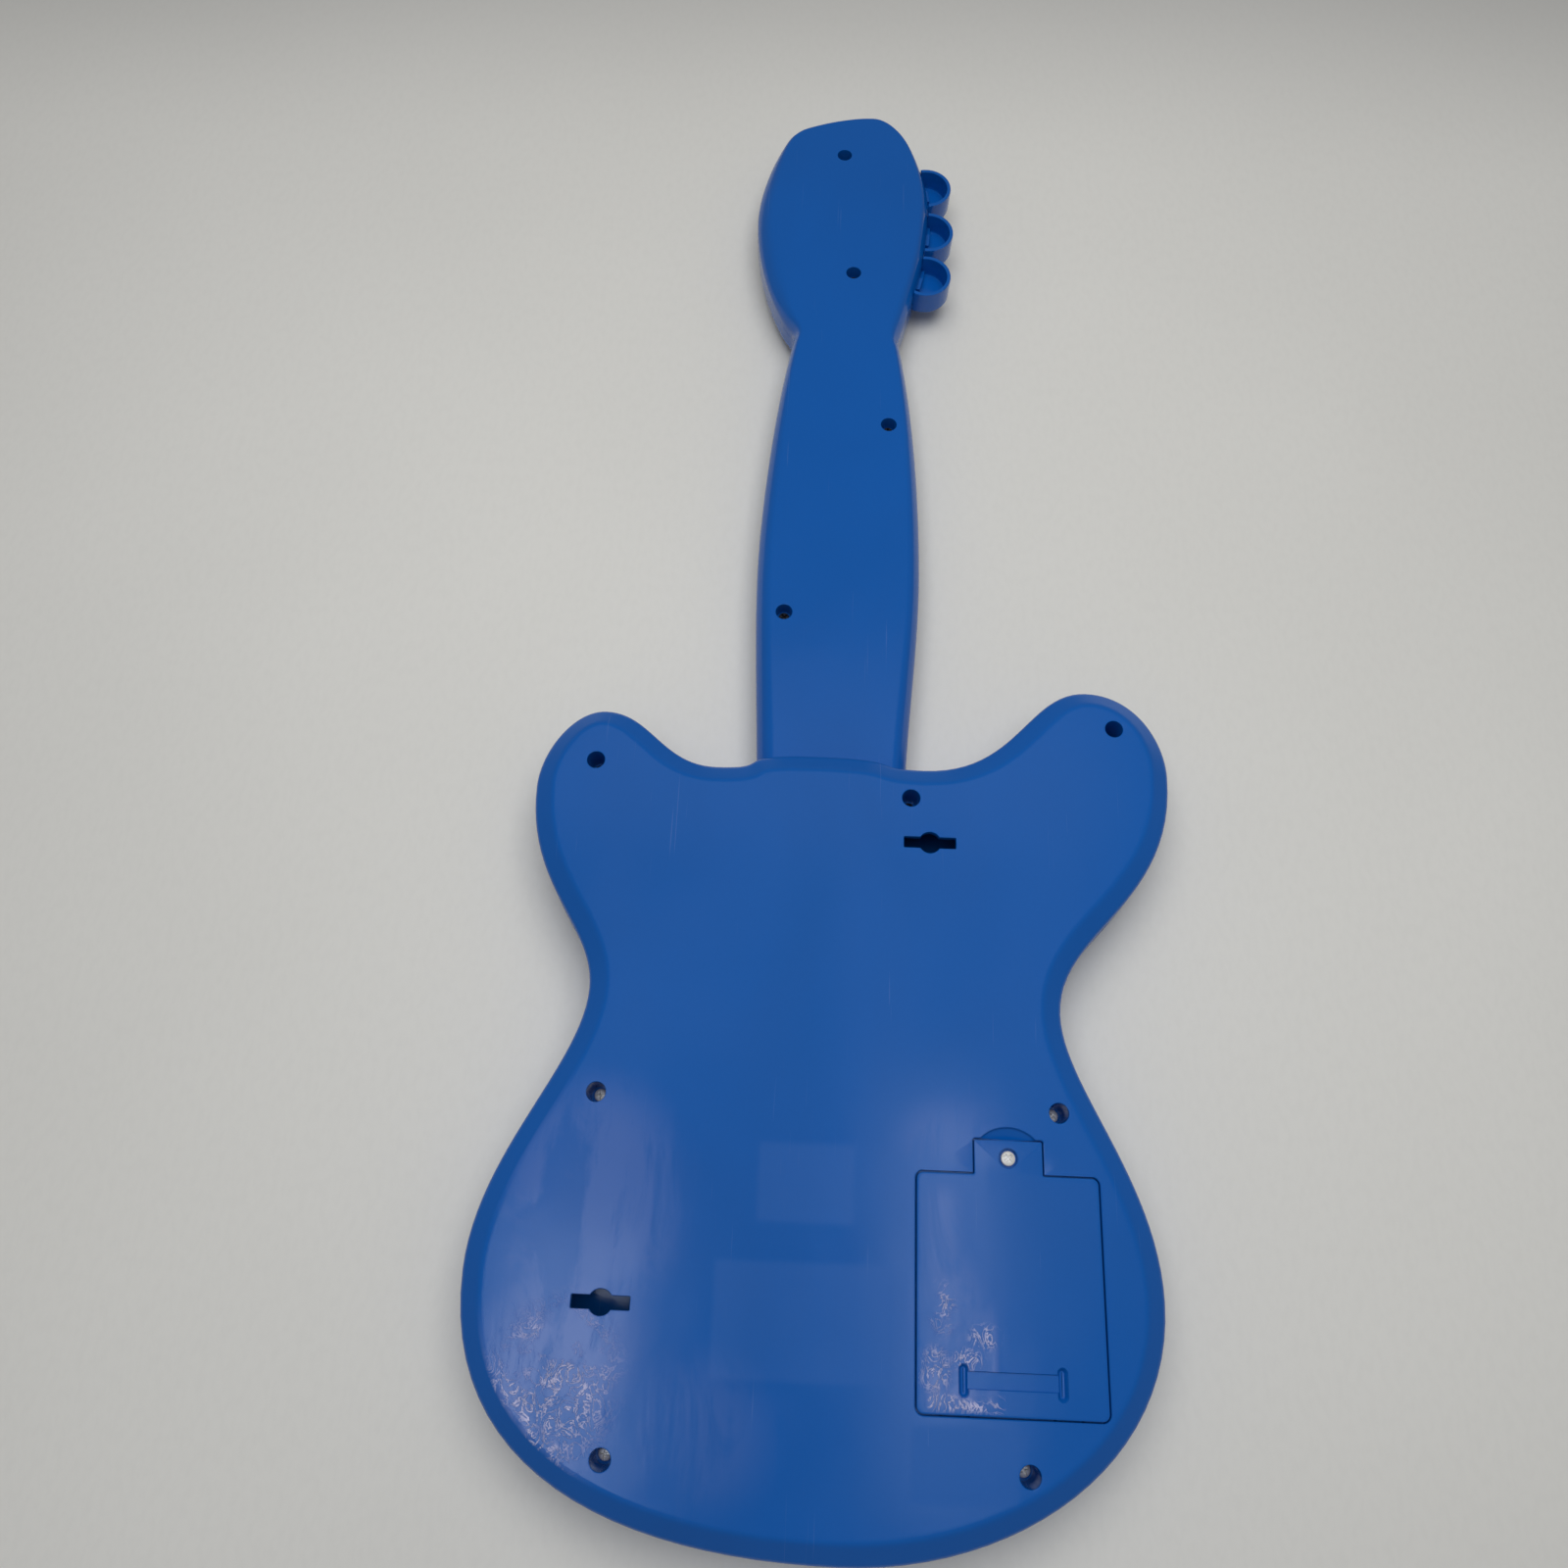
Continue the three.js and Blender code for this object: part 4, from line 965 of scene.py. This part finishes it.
def door_screw():
    seat = BACK_Z - 1.1
    screw = threaded("door_fastener", TAB_X, TAB_SCREW_Y, 22, seat, 1.3)
    head = turned("head", TAB_X, TAB_SCREW_Y, [(1, seat - 0.45), (2.1, seat - 0.4), (2.18, seat - 0.2),
                                               (2.16, seat + 0.5), (2.05, seat + 0.78), (1.75, seat + 0.94),
                                               (0.4, seat + 1)], 48)
    cut_from(head, [cross_recess(TAB_X, TAB_SCREW_Y, seat + 1, 1.4, 1.1, 40)])
    add_to(screw, [head])
    smooth(screw, 38)
    stands_for(screw, "door_screw")


# ---- battery bay ----
def cell_x(i):
    return (BAY_LEFT + BAY_RIGHT) / 2 + (i - 1) * CELL_PITCH


CELL_Y = (BAY_BOTTOM + BAY_TOP) / 2
CELL_Z = BAY_FLOOR + GAP + CELL_R


def battery_cells():
    half = CELL_LENGTH / 2
    profile = [(4.6, -half), (5, -half + 0.15), (6.2, -half + 0.15), (6.7, -half), (CELL_R, -half + 0.5),
               (CELL_R, half - 0.5), (6.8, half - 0.1), (6.4, half), (3, half - 0.1), (2.7, half),
               (2.7, half + 1), (2.4, half + 1.2)]
    for i in range(3):
        cell = turned(f"cell_{i + 1}", 0, 0, profile, 48)
        cell.rotation_euler = (math.radians(-90 if i % 2 == 0 else 90), 0, 0)
        cell.location = (cell_x(i) * MM, CELL_Y * MM, CELL_Z * MM)
        only(cell)
        bpy.ops.object.transform_apply(location=True, rotation=True, scale=True)
        smooth(cell)
        stands_for(cell, f"battery_cell_{i + 1}")


def contact_springs():
    """A conical wire coil between each cell's flat end and its contact."""
    turns, steps = 3, 42
    for i in range(3):
        side = -1 if i % 2 == 0 else 1
        start = BAY_BOTTOM + 0.95 if side < 0 else BAY_TOP - 0.95
        end = CELL_Y + side * (CELL_LENGTH / 2 - 0.1)
        bpy.ops.object.select_all(action="DESELECT")
        bpy.ops.curve.primitive_nurbs_path_add()
        spring = bpy.context.object
        spring.name = f"contact_spring_{i + 1}"
        wire = spring.data.splines[0]
        wire.points.add(steps + 1 - len(wire.points))
        wire.order_u, wire.use_endpoint_u = 3, True
        for step, point in enumerate(wire.points):
            share = step / steps
            angle, radius = 2 * math.pi * turns * share, 4.4 - 2.2 * share
            point.co = ((cell_x(i) + radius * math.cos(angle)) * MM, (start + (end - start) * share) * MM,
                        (CELL_Z + radius * math.sin(angle)) * MM, 1)
        spring.data.bevel_depth, spring.data.bevel_resolution = 0.28 * MM, 2
        spring.data.resolution_u, spring.data.use_fill_caps = 3, True
        bpy.ops.object.convert(target="MESH")
        spring = smooth(bpy.context.object, 50)
        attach(spring, BODY_OF["contact_top_single"])
        wear(spring, "contact_steel")


# ---- front ----
def pickguard():
    line = outline(GUARD, 20)
    rings = [(1.2, 2.2), (0.7, 2.2), (0.25, 2.35), (0, 2.7), (0, FRONT_Z - GAP)]
    plate = lofted("scratch_plate", line, rings)
    cut_from(plate, front_openings() + [block(NECK_X - 24.4, NECK_X + 24.4, -55.4, -40, 0, 10)])
    smooth(plate)
    stands_for(plate, "pickguard")


def song_buttons():
    for i, (x, y) in enumerate(BUTTONS):
        profile = [(1, 1.15), (3.4, 1.05), (5.2, 0.9), (5.9, 1.05), (6.35, 1.4), (6.5, 2), (6.5, 6.3),
                   (8.4, 6.3), (8.4, 7.3)]
        smooth(turned(f"button_{i + 1}", x, y, profile, 56))
        stands_for(bpy.data.objects[f"button_{i + 1}"], f"song_button_{i + 1}")


def light_lens():
    r = LENS_R
    profile = [(0.5, 1.12), (2, 1.15), (3.6, 1.3), (5, 1.6), (5.7, 1.95), (r, 2.5), (r, 6.3),
               (r + 1.5, 6.3), (r + 1.5, 7.6)]
    smooth(turned("lamp_lens", LENS_X, LENS_Y, profile, 56))
    stands_for(bpy.data.objects["lamp_lens"], "light_lens")


back_shell()
front_shell()
tuner_pegs()
battery_door()
case_screws()
door_screw()
battery_cells()
contact_springs()
pickguard()
song_buttons()
light_lens()
for node_name, edge_width in (("fretboard", 0.25), ("nut", 0.5), ("bridge", 0.3), ("strum_bar", 0.6),
                              ("power_slider", 0.4)):
    eased(node_name, edge_width)
for number in range(1, 6):
    eased(f"fret_key_{number}", 0.6)

REPLACED = {name for name in SLOT_OF if bpy.data.objects[name].hide_render}
for name, finish in SLOT_OF.items():
    if name not in REPLACED:
        wear(bpy.data.objects[name], finish)


# ---- the studio ----
def floor_material():
    material, tree, shader = new_material("studio_floor", Roughness=0.62, IOR=1.4)
    place = add(tree, "TexCoord").outputs["Object"]
    y = add(tree, "SeparateXYZ", {0: place}).outputs[1]
    clouds = noise(tree, object_place(tree), 3, 3)
    fibre = noise(tree, object_place(tree, (1, 0.5, 1)), 420, 3)
    tone = blend_colour(tree, span(tree, clouds, 0.3, 0.7), (0.78, 0.777, 0.75, 1), (0.82, 0.817, 0.79, 1))
    tone = blend_colour(tree, span(tree, fibre, 0.35, 0.75, 0.0, 0.05), tone, (0.45, 0.45, 0.44, 1))
    # painted shade: the floor darkens towards the far side, from 0.26 m to 0.5 m along Y
    tone = blend_colour(tree, span(tree, y, 0.26, 0.50), tone, (0.50, 0.50, 0.497, 1))
    tree.links.new(tone, shader.inputs["Base Color"])
    bump_into(tree, shader, fibre, 0.00005)
    return material


DAYLIGHT, SKYLIGHT, CEILING_LIGHT = (1, 0.99, 0.965), (0.71, 0.81, 1), (0.95, 0.97, 1)


def studio():
    bpy.ops.object.select_all(action="DESELECT")
    bpy.ops.mesh.primitive_plane_add(size=8, location=(0, 0, 0))
    floor = bpy.context.object
    floor.name = "studio_table"
    floor.data.materials.append(floor_material())
    world = bpy.data.worlds.new("studio_air")
    world.use_nodes = True
    world.node_tree.nodes["Background"].inputs["Color"].default_value = (1, 0.985, 0.955, 1)
    world.node_tree.nodes["Background"].inputs["Strength"].default_value = 0.18
    bpy.context.scene.world = world
    overhead = soft_light("overhead", (0, 0.3, 1.6), (0, -0.2, 0), (1.7, 1.3), 5.9, DAYLIGHT)
    lamp = soft_light("lamp", (0, 0.03, 0.64), (0, 0.03, 0), (0.5, 0.5), 1.74, DAYLIGHT)
    overhead.visible_glossy = lamp.visible_glossy = False
    soft_light("window_left", (-0.255, -0.355, 1.05), (-0.07, -0.22, 0), (0.17, 0.33), 0.44, SKYLIGHT)
    soft_light("window_right", (0.16, -0.25, 1.05), (0.03, -0.2, 0), (0.085, 0.42), 0.31, SKYLIGHT)
    soft_light("far_ceiling", (0, 0.62, 1.6), (0, -0.03, 0), (1.1, 0.35), 0.3, CEILING_LIGHT)
    bpy.context.scene.view_settings.view_transform = "Standard"


studio()
